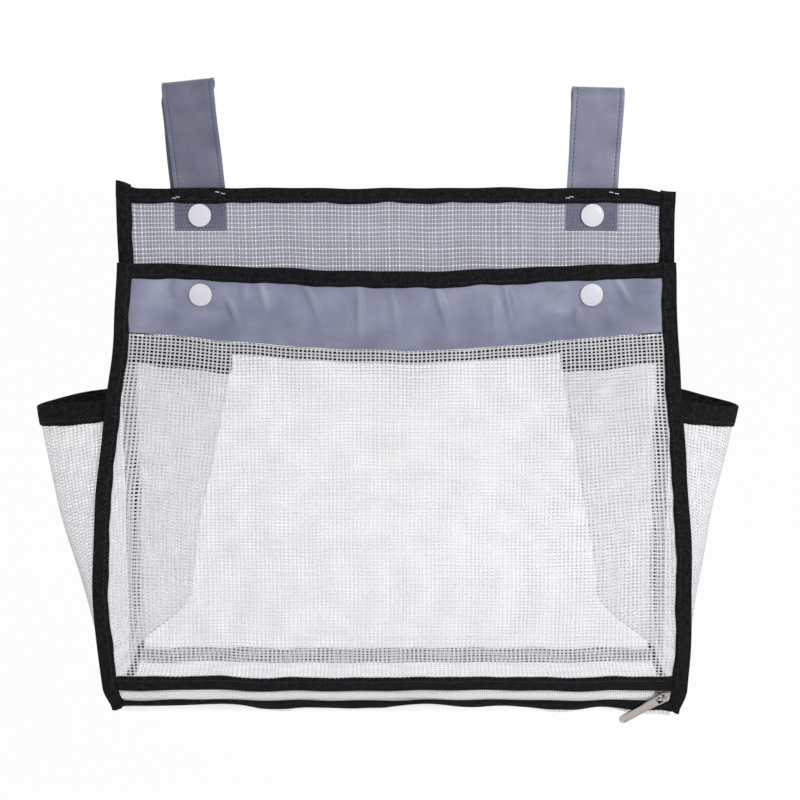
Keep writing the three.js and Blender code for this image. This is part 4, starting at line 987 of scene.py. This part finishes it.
# %% Gusset, floor and pocket tapes
PLEAT_ENDS = 0.97
WIDE_LEGS = (ELASTIC, ELASTIC)
pleat = np.linspace(-PLEAT_ENDS, PLEAT_ENDS, 160)
for name, side in SIDES.items():
    outside = (side, 0, 0)
    add_tape(f"gusset_tape_{name}", lambda s, inset: gusset_cloth(side, s, GUSSET_DROP + inset), pleat,
             SINGLE, WIDE_LEGS, outside, f"gusset_binding_{name}")
    add_tape(f"floor_tape_{name}", lambda s, inset: gusset_cloth(side, s, FIN_DROP - inset), pleat,
             SINGLE, LEGS, outside, f"floor_binding_{name}")
    add_tape(f"pocket_tape_{name}", lambda s, inset: pocket_cloth(side, s, POCKET_DROP + inset),
             arch_stations(160), SINGLE, WIDE_LEGS, outside, f"pocket_binding_{name}")
print("tapes so far:", len(stitched))

# %% [markdown]
# ## Mouth band
#
# The satin band snaps to the back panel, arches a little between the snaps and slopes out to the front
# net. It is gathered into its tape, so small puckers run down from its upper edge, and slack cloth makes
# slanted creases. These are real waves of the surface, because a shiny cloth shows its creases by shape.

# %% Creases
BAND_HEIGHT = HINGE_DROP - MOUTH_DROP
PUCKER, PUCKER_FADE, SLACK, CREASE_WIDTH, CREASE_ROUND = 0.3, 4, 0.7, 2.5, 0.6
CAP_CALM = (8, 15)
# Each crease: where it starts and ends across the band, how far down it starts and ends, its height.
CREASES = ((-137, -140, 0.1, 0.5, 1.2), (-107, -93, 0.4, 1.1, 2.4), (-96, -95, 0.1, 0.5, 1.0),
           (-88, -81, 0.1, 0.6, 1.5), (-60, -42, 0.1, 0.9, 1.7), (-24, -22, 0.1, 1.1, 2.3),
           (-4, 2, 0.2, 0.9, 1.1), (23, 38, 0.1, 1.1, 2.3), (61, 63, 0.4, 1.0, 1.7), (67, 77, 0.1, 1.1, 2.4),
           (117, 111, 0.4, 1.1, 2.2), (135, 147, 0.1, 0.6, 1.5), (133, 136, 0.6, 1.1, 1.2))


def hump(t):
    """A flattened sine hump, sin(pi t)^0.6: 0 at t = 0 and at t = 1."""
    return np.maximum(0, np.sin(np.pi * t)) ** CREASE_ROUND


def creases(x, t):
    """Puckers that fade down from the upper edge, slack waves, and narrow bell-shaped creases, each rising
    and dying away along its own slanted line. All are calm under the caps and at both edges."""
    cap_t = (MOUTH_SNAP_DROP - MOUTH_DROP) / BAND_HEIGHT
    from_cap = np.hypot(np.abs(x) - SNAP_X, (t - cap_t) * BAND_HEIGHT)
    t = np.clip(t, 0, 1)
    pucker = PUCKER * np.exp(-PUCKER_FADE * t) * np.sin(x / 3.1 + 1.4 * np.sin(x / 23))
    slack = SLACK * hump(t) * np.sin((x - 22 * t) / 21 + 0.8)
    narrow = 0
    for start, end, begins, dies, height in CREASES:
        share = (t - begins) / (dies - begins)
        bell = np.exp(-((x - mix(start, end, share)) / CREASE_WIDTH) ** 2)
        narrow = narrow + height * hump(np.clip(share, 0, 1)) * bell
    return smooth(from_cap, *CAP_CALM) * (pucker + slack + hump(t) * narrow)


print("creases:", len(CREASES), "up to", max(crease[4] for crease in CREASES), "mm high")

# %% [markdown]
# The band has a thickness, so it is a slab: its grid pushed half a thickness to either side and closed.

# %% Mouth band
SNAP_FLAT, SNAP_HOLD, LOOSE_TOP, CAP_RADIUS = 0.62, 2.3, 3, 7.2
SHARP_NEAR_SNAP = (9, 45)


def band_cloth(x, t):
    """The mouth band: t is 0 at its upper edge and 1 at the seam with the front net."""
    swell = swell_at(x)
    drop = mix(MOUTH_DROP + MOUTH_SAG * swell, HINGE_DROP + HINGE_SAG * swell - GAP, t)
    seam = MOUTH_DEPTH + HINGE_BULGE * swell
    sharp = np.maximum(0, (t - SNAP_FLAT) / (1 - SNAP_FLAT)) ** 2
    shoulder = mix(sharp, np.maximum(0, t) ** 3, smooth(np.abs(np.abs(x) - SNAP_X), *SHARP_NEAR_SNAP))
    arch = MOUTH_BULGE * np.maximum(0, 1 - (x / SNAP_X) ** 2) ** 2 * (1 - t)
    snapped = mix(SNAP_STACK, seam, shoulder) + arch
    loose = mix(SNAP_STACK + LOOSE_TOP, seam, t)
    depth = mix(snapped, loose, smooth(np.abs(x), SNAP_X + SNAP_HOLD * CAP_RADIUS, FIELD))
    return settle(np.stack(np.broadcast_arrays(x, Y_BACK - depth - creases(x, t), TOP - drop), axis=-1))


def slab(grid, thickness):
    """Cloth of a thickness: each row of the grid becomes a flat ring, up one side and back down the other."""
    normal = directions(grid)[2] * thickness / 2
    return ring_tube(np.concatenate([grid + normal, (grid - normal)[:, ::-1]], axis=1))


def add_flap_piece(name, part, finish, slot, *nodes):
    """A piece of the mouth that rides on no body, with its transform baked into its mesh."""
    piece = add_piece(name, part, finish, slot, None, *nodes)
    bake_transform(piece)
    return piece


band_grid = surface_grid(band_cloth, np.linspace(-EDGE, EDGE, 420), np.linspace(0, 1, 40))
band = add_flap_piece("mouth_band_sewn", slab(band_grid, CLOTH), satin_finish, "grey_cloth",
                      "mouth_band", "mouth_hem")

# %% [markdown]
# ### Tapes of the mouth and the front
#
# The side tape runs from the mouth's corner to the floor in one piece, over the front net and the gusset
# inside it. It follows the band above the seam and the front net below it, so it is one tape in two zones of
# the same surface. Its lower end is cut round and curls in, as the end of a sewn tape does.

# %% Mouth and front tapes
END_CURL, END_CURL_REACH, END_ROUND, END_SHARE = 3.0, 16, 7.0, 0.97
BAND_EASE, CORNER_RISE, LEAST_T = 0.1, 0.8, -0.1
UNSTITCHED = 10


def mouth_edge(x, inset):
    """The band near its upper edge: its t is the distance down from the edge over its height."""
    return band_cloth(x, inset / BAND_HEIGHT)


def side_edge(side, drop, inset):
    """The front's side edge from the mouth's upper corner down: the band above, the front net below."""
    drop, inset = np.broadcast_arrays(drop, inset)
    t = np.clip((drop - MOUTH_DROP) / BAND_HEIGHT, LEAST_T, 1)
    above = band_cloth(side * (EDGE - inset), t)
    y, z = front_edge(np.maximum(drop, HINGE_DROP), 0)
    curl = END_CURL * smooth(drop, BAG_HEIGHT - END_CURL_REACH, BAG_HEIGHT)
    below = settle(np.stack([side * (EDGE - inset - curl), y + curl, z], axis=-1))
    return np.where((drop < HINGE_DROP)[..., None], above, below)


mouth_layers = (-CLOTH / 2 - BAND_EASE, CLOTH / 2 + BAND_EASE)
mouth_xs = np.linspace(-HALF + 1, HALF - 1, 240)
add_flap_piece("mouth_tape_top", folded_tape(mouth_edge, mouth_xs, mouth_layers, LEGS, FRONT),
               tape_finish, "black_tape", "mouth_binding_top")
flap_stitched = [tape_stitches(mouth_edge, mouth_xs, mouth_layers, BINDING, FRONT)]

side_layers = (-NET / 2 - FLANGE_SET, NET / 2 + SIDE_EASE)
side_drops = np.concatenate([np.linspace(MOUTH_DROP - CORNER_RISE, HINGE_DROP, 40),
                             np.linspace(HINGE_DROP, BAG_HEIGHT, 130)[1:]])
end_share = np.clip((side_drops - BAG_HEIGHT + END_ROUND) / END_ROUND, 0, END_SHARE)
end_narrow = np.sqrt(1 - end_share ** 2)
for name, side in SIDES.items():
    edge = partial(side_edge, side)
    tape = folded_tape(edge, side_drops, side_layers, (INNER_LEG, BINDING), FRONT, end_narrow)
    add_flap_piece(f"side_tape_{name}", tape, tape_finish, "black_tape",
                   f"mouth_binding_{name}", f"front_binding_{name}")
    flap_stitched.append(tape_stitches(edge, side_drops[:-UNSTITCHED], side_layers, BINDING, FRONT))
add_tape("front_tape_bottom", lambda x, inset: front_cloth(x, NET_BOTTOM_DROP - inset),
         np.linspace(-HALF + BINDING, HALF - BINDING, 150), SINGLE, LEGS, FRONT, "front_binding_bottom")
print("mouth and side tapes:", len(flap_stitched))

# %% [markdown]
# ### Seam tapes
#
# A flat black tape covers each seam from behind. The front one shows through the net as a dark row below
# the satin band. Each is a slab on the panel's own surface, moved by the layers that it lies on.

# %% Seam tapes
SEAM_SET = NET / 2 + GAP + TAPE / 2
# Each seam: its cloth, half its length, its upper and lower edge, and how far back it lies.
SEAMS = {
    "front_seam": (front_cloth, HALF - 2 * BINDING, HINGE_DROP + 2 * GAP, HINGE_DROP + SEAM_TAPE, SEAM_SET),
    "back_seam": (back_cloth, FIELD, HINGE_DROP - SEAM_TAPE / 2, HINGE_DROP + SEAM_TAPE / 2, -SEAM_SET),
}
for name, (cloth, half, upper, lower, set_back) in SEAMS.items():
    seam_grid = surface_grid(cloth, np.linspace(-half, half, 160), np.linspace(upper, lower, 6))
    add_piece(f"{name}_sewn", slab(seam_grid + [0, set_back, 0], TAPE), tape_finish, "black_tape", "bag",
              f"{name}_tape")
print("seam tapes:", len(SEAMS))

# %% [markdown]
# ## Strap loops
#
# Each strap is one strip of satin folded in three, with a row of stitches near each edge. It is sewn
# behind the top edge, goes up over the rail and comes down behind, where it snaps. A line for the loop is
# carried across the strip's width, and the two straps lean and twist each in its own way.

# %% The loop's line and surface
STRAP_RISE, STRAP_WIDTH, STRAP_TAIL, STRAP_STRAIGHT, LOOP_HALF = -TOP, 32, 27, 8, 6.5
LEG_Y, STRAP_WAVE = 2.6, 0.4
STRAP_LEAN = {"left": -6, "right": 2.5}
STRAP_TWIST = {"left": 0.8, "right": -0.2}
REAR_OFFSET = {"left": -3.0, "right": 0.6}
LOOP_SHIFT = {"left": 0.9, "right": -3.2}
LOOP_TILT = {"left": 1.6, "right": -0.4}
# Each pair: the heights between which a movement begins or ends.
WAVE_BEGINS, WAVE_ENDS = (TOP + 2, TOP + 22), (-26, -5)
ASIDE_BEGINS, ASIDE_ENDS = (TOP - 14, TOP - 1), (-12, 0)


def loop_line(count):
    """The loop's line from the front leg's tail over the top to the rear leg's tail: (y, z) at each place.
    Straight legs, a smooth spread towards the rail and a half circle over it."""
    arc_z = STRAP / 2 - LOOP_HALF
    straight = TOP + STRAP_STRAIGHT
    z_leg = np.concatenate([np.linspace(TOP - STRAP_TAIL, straight, count),
                            np.linspace(straight, arc_z, count)[1:]])
    y_leg = mix(LEG_Y, LOOP_HALF, smooth(z_leg, straight, arc_z))
    angle = np.linspace(0, np.pi, count)[1:-1]
    y = np.concatenate([-y_leg, -LOOP_HALF * np.cos(angle), y_leg[::-1]])
    z = np.concatenate([z_leg, arc_z + LOOP_HALF * np.sin(angle), z_leg[::-1]])
    return y, z


def strap_grid(name, across):
    """The strap's surface: its loop line carried across its width, leaning as it rises, a little wavy. It
    twists as far as its legs have spread, so that each leg stays on its side of the bend. The rear leg
    stands a little aside, and the top of the loop is shifted and tilted."""
    y, z = loop_line(40)
    u, line_z = np.meshgrid(across, z)
    risen = np.maximum(0, line_z - TOP) / STRAP_RISE
    free = smooth(line_z, *WAVE_BEGINS) * (1 - smooth(line_z, *WAVE_ENDS))
    aside = smooth(line_z, *ASIDE_BEGINS) * (1 - smooth(line_z, *ASIDE_ENDS))
    rear = REAR_OFFSET[name] * aside * (y > 0)[:, None]
    x = SIDES[name] * SNAP_X + STRAP_LEAN[name] * risen + u * STRAP_WIDTH / 2 + rear
    spread = np.abs(y)[:, None] - LEG_Y
    wave = STRAP_WAVE * np.sin(line_z / 7 + 2 * u) - STRAP_TWIST[name] * u * spread
    shift = (LOOP_SHIFT[name] + LOOP_TILT[name] * u) * risen
    return np.stack([x, y[:, None] + free * wave, line_z + shift], axis=-1)


print(f"loops: {STRAP_RISE:.0f} mm above the top edge")

# %% [markdown]
# The stitches draw the strip in and leave a puffed margin outside them, so its thickness changes across
# its width. The strip is one piece.

# %% Straps
STRAP_EDGE, MARGIN_PUFF, SEAM_GROOVE, GROOVE_WIDTH = 2.7, 0.35, 0.4, 0.8
STRAP_STITCH, FURTHER_IN = 2.4, 0.9
# The left strap takes the darkest copy of the satin, with its shade painted in.
STRAP_FINISH = {"left": shaded_strap_finish, "right": strap_finish}
strap_across = np.linspace(-1, 1, 61)
past_seam = np.abs(strap_across) * STRAP_WIDTH / 2 - (STRAP_WIDTH / 2 - STRAP_EDGE)
puff = MARGIN_PUFF * np.sin(np.pi * np.clip(past_seam / STRAP_EDGE, 0, 1))
groove = SEAM_GROOVE * np.exp(-(past_seam / GROOVE_WIDTH) ** 2)
strap_thickness = (STRAP + puff - groove)[None, :, None]


def strap_stitches(name):
    """A row of stitches near each edge of a strap, on both its faces. A second line further in gives the
    strip's direction there."""
    rows = []
    for u in (-1, 1):
        line = strap_grid(name, np.array([u, u * FURTHER_IN]) * (1 - 2 * STRAP_EDGE / STRAP_WIDTH))
        normal = directions(line)[2][:, 0]
        for way in (-1, 1):
            on_face = line[:, 0] + normal * way * (STRAP - SEAM_GROOVE) / 2
            rows.append(stitch_row(on_face, way * normal, stitch=STRAP_STITCH))
    return joined(*rows)


for name, side in SIDES.items():
    grid = strap_grid(name, strap_across)
    strap = add_piece(f"strap_{name}_sewn", slab(grid, strap_thickness), STRAP_FINISH[name], "grey_cloth",
                      None, f"strap_{name}_fixed", f"strap_{name}_free")
    threads = add_piece(f"strap_{name}_stitches", strap_stitches(name), grey_thread, "grey_cloth", None)
    for piece in (strap, threads):
        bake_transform(piece)

# %% [markdown]
# ## Stitches and tacks
#
# The rows of black thread on the tapes are joined: one piece for those that stay with the bag and one for
# those on the mouth and side tapes. Where the straps are sewn in, short bar tacks of white thread stand out
# against the black tape. They are listed one by one, because the real ones are uneven.

# %% Stitches and tacks
add_piece("tape_stitches", joined(*stitched), black_thread, "black_tape", "bag")
add_flap_piece("flap_stitches", joined(*flap_stitched), black_thread, "black_tape")
TACK_LIFT, TACK_SLANT, TACK_POINTS = 1.15, 0.12, 7
# Each tack: its place across the strap, its drop and its length.
TACKS = ((-0.96, 6.2, 3.2), (-0.8, 5.6, 3.6), (0.74, 2.6, 3.4), (0.94, 3.4, 2.8))
tack_up = np.tile([0.0, -1.0, 0.0], (TACK_POINTS, 1))
tacks = []
for side in SIDES.values():
    for u, drop, length in TACKS:
        reach = np.linspace(-length / 2, length / 2, TACK_POINTS)
        line = back_cloth(side * SNAP_X + u * STRAP_WIDTH / 2 + reach, drop + TACK_SLANT * reach)
        line = line + tack_up * (NET / 2 + TAPE_TURN * TACK_LIFT)
        tacks.append(stitch_row(line, tack_up, pitch=1.3, stitch=1.2, width=0.5))
add_piece("strap_tacks", joined(*tacks), white_thread, "white_nylon", "bag")
print("stitches:", len(stitched) + len(flap_stitched), "rows and", len(tacks), "tacks")

# %% [markdown]
# ## Snaps
#
# A snap has two halves. Each has a round cap whose prong goes through the cloth into a socket or a stud.
# A turned part is a profile carried round an axis, so one function makes all sixteen pieces.

# %% Turned profiles
AXIS, ROUND, NICK = 0.02, 0.3, 0.1
CAP_EDGE, CAP_DOME, CAP_RIM = 0.9, 0.6, 0.55
DOME_RADII = (AXIS, 1.5, 3, 4.5, 5.4)
# The shallow ring near a cap's rim: the radius and the height of its two corners.
CAP_RING = ((5.8, 0.22), (6.1, 0.3))
PRONG_RADIUS, SNAP_RADIUS, STUD_RADIUS = 1.4, 5.4, 2.7
SOCKET_HEIGHT, STUD_BASE, STUD_RISE = 2, 1, 1
BORE = PRONG_RADIUS + GAP
SNAP_TURNS = 56


def turned(profile, centre, way):
    """A profile of (radius, height) points carried round an axis along y: way is 1 or -1."""
    radius, height = np.array(profile, float).T
    angle = np.linspace(0, 2 * np.pi, SNAP_TURNS, endpoint=False)
    x = centre[0] + radius[:, None] * np.cos(angle)
    z = centre[2] + radius[:, None] * np.sin(angle)
    y = np.broadcast_to((centre[1] + way * height)[:, None], x.shape)
    return ring_tube(np.stack([x, y, z], axis=-1))


def cap_profile(prong):
    """A cap: a low dome with a shallow ring near its rim, a round edge, a flat underside and the prong."""
    dome = [(r, -CAP_EDGE - CAP_DOME * (1 - (r / CAP_RADIUS) ** 2) ** 0.5) for r in DOME_RADII]
    ring = [(r, -CAP_EDGE - height) for r, height in CAP_RING]
    edge = [(CAP_RADIUS - CAP_RIM + CAP_RIM * np.cos(a), -CAP_RIM - CAP_RIM * np.sin(a))
            for a in np.linspace(np.pi / 2, -np.pi / 2, 7)]
    return dome + ring + edge + [(PRONG_RADIUS + NICK, 0), (PRONG_RADIUS, NICK), (PRONG_RADIUS, prong - 0.5),
                                 (PRONG_RADIUS * 0.6, prong), (AXIS, prong)]


stud_profile = [(AXIS, 0.2), (BORE, NICK), (BORE, 0), (SNAP_RADIUS, 0), (SNAP_RADIUS, STUD_BASE - ROUND),
                (SNAP_RADIUS - NICK, STUD_BASE - NICK), (SNAP_RADIUS - ROUND, STUD_BASE),
                (STUD_RADIUS + NICK, STUD_BASE), (STUD_RADIUS, STUD_BASE + NICK),
                (STUD_RADIUS - 0.2, STUD_BASE + 0.6), (STUD_RADIUS - 0.6, STUD_BASE + 0.9),
                (BORE, STUD_BASE + STUD_RISE - 0.02), (BORE - NICK, STUD_BASE + 0.6), (AXIS, STUD_BASE + 0.6)]
socket_profile = [(AXIS, 0.2), (BORE, NICK), (BORE, 0), (SNAP_RADIUS - ROUND, 0), (SNAP_RADIUS - NICK, NICK),
                  (SNAP_RADIUS, ROUND), (SNAP_RADIUS, SOCKET_HEIGHT - ROUND),
                  (SNAP_RADIUS - NICK, SOCKET_HEIGHT - NICK), (SNAP_RADIUS - ROUND, SOCKET_HEIGHT),
                  (STUD_RADIUS + 0.6, SOCKET_HEIGHT), (STUD_RADIUS + 0.5, SOCKET_HEIGHT - NICK),
                  (2.3, 1.1), (BORE, 1.1), (AXIS, 1.0)]
print("profiles:", len(stud_profile), "points for a stud,", len(socket_profile), "for a socket")

# %% [markdown]
# The frame's boxes say where each piece lies. A cap's dome faces away from its prong, and a stud and its
# socket face each other, so each piece only needs to know whether its profile rises to the back or front.

# %% Snaps
# Which way each profile rises: 1 to the back, -1 to the front.
SNAP_WAY = {"strap_stud": 1, "strap_socket": -1, "mouth_socket": 1, "mouth_stud": -1}
SNAP_PROFILE = {"stud": stud_profile, "socket": socket_profile}
body_of_node = {}
for body, nodes in frame["record"]["behaviour"]["bodies"].items():
    body_of_node.update({node: body for node in nodes})


def add_snap_piece(node):
    """Turns the piece that a frame node stands for, in its place: caps face away from their prongs."""
    low, high = box_mm(node)
    centre = (low + high) / 2
    if "_cap_" in node:
        way = 1 if node.endswith("front") else -1
        height = CAP_EDGE + CAP_DOME
        centre[1] = low[1] + height if way > 0 else high[1] - height
        profile = cap_profile(high[1] - low[1] - height)
    else:
        owner, kind = node.split("_")[0], node.split("_")[-1]
        way = SNAP_WAY[f"{owner}_{kind}"]
        centre[1] = low[1] if way > 0 else high[1]
        profile = SNAP_PROFILE[kind]
    add_piece(f"{node}_turned", turned(profile, centre, way), snap_finish, "white_plastic",
              body_of_node[node], node)


snap_nodes = [node for node in frame["nodes"] if "_snap_" in node]
for node in snap_nodes:
    add_snap_piece(node)
print("snap pieces:", len(snap_nodes))

# %% [markdown]
# ## Zipper
#
# Nylon zippers have two coils, each a flattened spring sewn to its tape, whose loops mesh in the middle.
# A coil is a tube along a helix: a circle squashed to the zipper's depth that moves on by one pitch a turn.
# Near the teeth the tapes stay straight, because the slider runs there, and they ripple further out.

# %% Zipper tapes and coils
ZIPPER_REACH = HALF - BINDING + TAPE_CLEAR
TAPE_SET, TAPE_EDGE, TAPE_REACH = 1.7, 0.6, 12
TAUT = (4, 7)
COIL_PITCH, COIL_INNER, COIL_OUTER, COIL_DEPTH, COIL_WIRE = 1.4, 0.1, 2.2, 1.6, 0.8
COIL_POINTS, WIRE_SIDES = 14, 6


def zipper_line(x, out, up):
    """A point of the zipper: straight near the teeth, where the slider runs, and settled at the tapes'
    edges."""
    straight = in_zipper(x, out, up)
    loose = smooth(np.abs(up), *TAUT)
    return mix(straight, settle(straight), np.broadcast_to(loose, straight.shape[:-1])[..., None])


def zipper_tape(up):
    """The grid of a flat woven tape beside the teeth: a strip up or down the zipper's slope at one depth."""
    xs = np.linspace(-ZIPPER_REACH, ZIPPER_REACH, 160)
    ups = up * np.linspace(TAPE_EDGE, TAPE_REACH, 14)
    return surface_grid(lambda x, z: zipper_line(x, TAPE_SET, z), xs, ups)


def coil(up):
    """A helix along the zipper, as a six-sided tube: 14 points a turn, squashed between the two tapes."""
    turns = int(2 * ZIPPER_REACH / COIL_PITCH)
    angle = np.linspace(0, 2 * np.pi * turns, COIL_POINTS * turns)
    x = np.linspace(-ZIPPER_REACH, ZIPPER_REACH, len(angle)) + (up - 1) * COIL_PITCH / 4
    middle, reach = (COIL_OUTER + COIL_INNER) / 2, (COIL_OUTER - COIL_INNER) / 2
    back = TAPE_SET - CLOTH / 2 - COIL_DEPTH / 2
    out = back + (COIL_DEPTH - COIL_WIRE) / 2 * np.sin(angle)
    path = zipper_line(x, out, up * (middle + reach * np.cos(angle)))
    tangent = unit(np.gradient(path, axis=0))
    side = unit(np.cross(tangent, [1.0, 0, 0]))
    other = np.cross(tangent, side)
    around = np.linspace(0, 2 * np.pi, WIRE_SIDES, endpoint=False)[None, :, None]
    wire = side[:, None] * np.cos(around) + other[:, None] * np.sin(around)
    return ring_tube(path[:, None] + COIL_WIRE / 2 * wire)


for name, up in {"upper": 1, "lower": -1}.items():
    grid = zipper_tape(up)
    tape = add_piece(f"zipper_tape_{name}_woven", slab(grid, CLOTH), nylon_finish, "white_nylon", "bag",
                     f"zipper_tape_{name}")
    add_piece(f"zipper_coil_{name}_wound", coil(up), nylon_finish, "white_nylon", "bag",
              f"zipper_coil_{name}")
floor_front = folded_tape(lambda x, inset: settle(tucked(in_zipper(x, 0.0, -UNDER - inset))),
                          np.linspace(-ZIPPER_REACH, ZIPPER_REACH, 150), SINGLE,
                          (LOWER_BINDING, LOWER_BINDING), FRONT)
add_piece("floor_tape_front", floor_front, tape_finish, "black_tape", "bag", "floor_binding_front")
print(f"coils: {int(2 * ZIPPER_REACH / COIL_PITCH)} turns each")

# %% [markdown]
# ### Slider and pull
#
# The castings have the right outline in the frame already. A copy of each mesh is merged and its edges are
# rounded by a bevel, which is what makes cast metal catch the light.

# %% Slider and pull
CAST_ROUND, MERGE = 0.00022, 1e-6


def add_casting(node, body):
    """A merged copy of a frame node with rounded edges."""
    mesh = frame["nodes"][node].data.copy()
    piece = bpy.data.objects.new(f"{node}_cast", mesh)
    bpy.context.scene.collection.objects.link(piece)
    mesh.materials.clear()
    mesh.materials.append(metal_finish)
    weld = piece.modifiers.new("weld", "WELD")
    weld.merge_threshold = MERGE
    bevel = piece.modifiers.new("rounded_edges", "BEVEL")
    bevel.width = CAST_ROUND
    bevel.segments = 3
    bevel.limit_method = "ANGLE"
    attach(piece, body)
    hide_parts(node)


add_casting("zipper_slider", "slider")
add_casting("zipper_pull", "pull")
print("castings: slider and pull")

# %% [markdown]
# ## Light and floor
#
# A plain studio: a white surround that lights everything softly, and one large lamp from the upper right
# that gives the cloth its shine. What the camera and reflections see of the surround is plain white. The
# pale floor lies well below the bag and keeps a faint shadow.

# %% Surround and lamp
SURROUND = 0.65
LAMP_POWER, LAMP_SIZE = 11, 0.7
LAMP_AT, LAMP_TURN = (0.85, -1.25, 0.35), np.radians((70, 0, 34))


def seen_directly(tree):
    """1 for what the camera sees, straight on, in gloss or through glass, and 0 for light on other
    surfaces."""
    rays = add_node(tree, "ShaderNodeLightPath").outputs
    seen = rays["Is Camera Ray"]
    for kind in ("Is Glossy Ray", "Is Transmission Ray"):
        seen = add_node(tree, "ShaderNodeMath", {"operation": "MAXIMUM"}, {0: seen, 1: rays[kind]}).outputs[0]
    return seen


world = bpy.data.worlds.new("studio")
world.use_nodes = True
bpy.context.scene.world = world
tree = world.node_tree
strength = add_node(tree, "ShaderNodeMapRange", None,
                    {"Value": seen_directly(tree), "To Min": SURROUND, "To Max": 1.0})
surround = tree.nodes["Background"]
surround.inputs["Color"].default_value = (1, 1, 1, 1)
tree.links.new(strength.outputs["Result"], surround.inputs["Strength"])

lamp_data = bpy.data.lights.new("key", "AREA")
lamp_data.energy = LAMP_POWER
lamp_data.size = LAMP_SIZE
lamp = bpy.data.objects.new("key", lamp_data)
lamp.location = LAMP_AT
lamp.rotation_euler = LAMP_TURN
bpy.context.scene.collection.objects.link(lamp)
bpy.context.scene.view_settings.view_transform = "Standard"
print("light: white surround and one lamp of", LAMP_POWER, "W")

# %% Floor
FLOOR_Z, FLOOR_SPAN, FLOOR_GLOW = -0.66, 15, 0.94
corners = [(x * FLOOR_SPAN, y * FLOOR_SPAN, FLOOR_Z) for x, y in ((-1, -1), (1, -1), (1, 1), (-1, 1))]
floor_mesh = bpy.data.meshes.new("floor")
floor_mesh.from_pydata(corners, [], [(0, 1, 2, 3)])
floor = bpy.data.objects.new("floor", floor_mesh)
bpy.context.scene.collection.objects.link(floor)
floor_finish, tree, shader = new_material("pale_floor", {"Base Color": linear("#f9f9f9"), "Roughness": 0.9})
glow = add_node(tree, "ShaderNodeEmission", None, {"Color": (1, 1, 1, 1), "Strength": 1.0})
share = add_node(tree, "ShaderNodeMath", {"operation": "MULTIPLY"}, {0: seen_directly(tree), 1: FLOOR_GLOW})
mixed = add_node(tree, "ShaderNodeMixShader", None,
                 {0: share.outputs[0], 1: shader.outputs["BSDF"], 2: glow.outputs["Emission"]})
tree.links.new(mixed.outputs["Shader"], tree.nodes["Material Output"].inputs["Surface"])
floor_mesh.materials.append(floor_finish)
print("floor:", FLOOR_Z, "m")
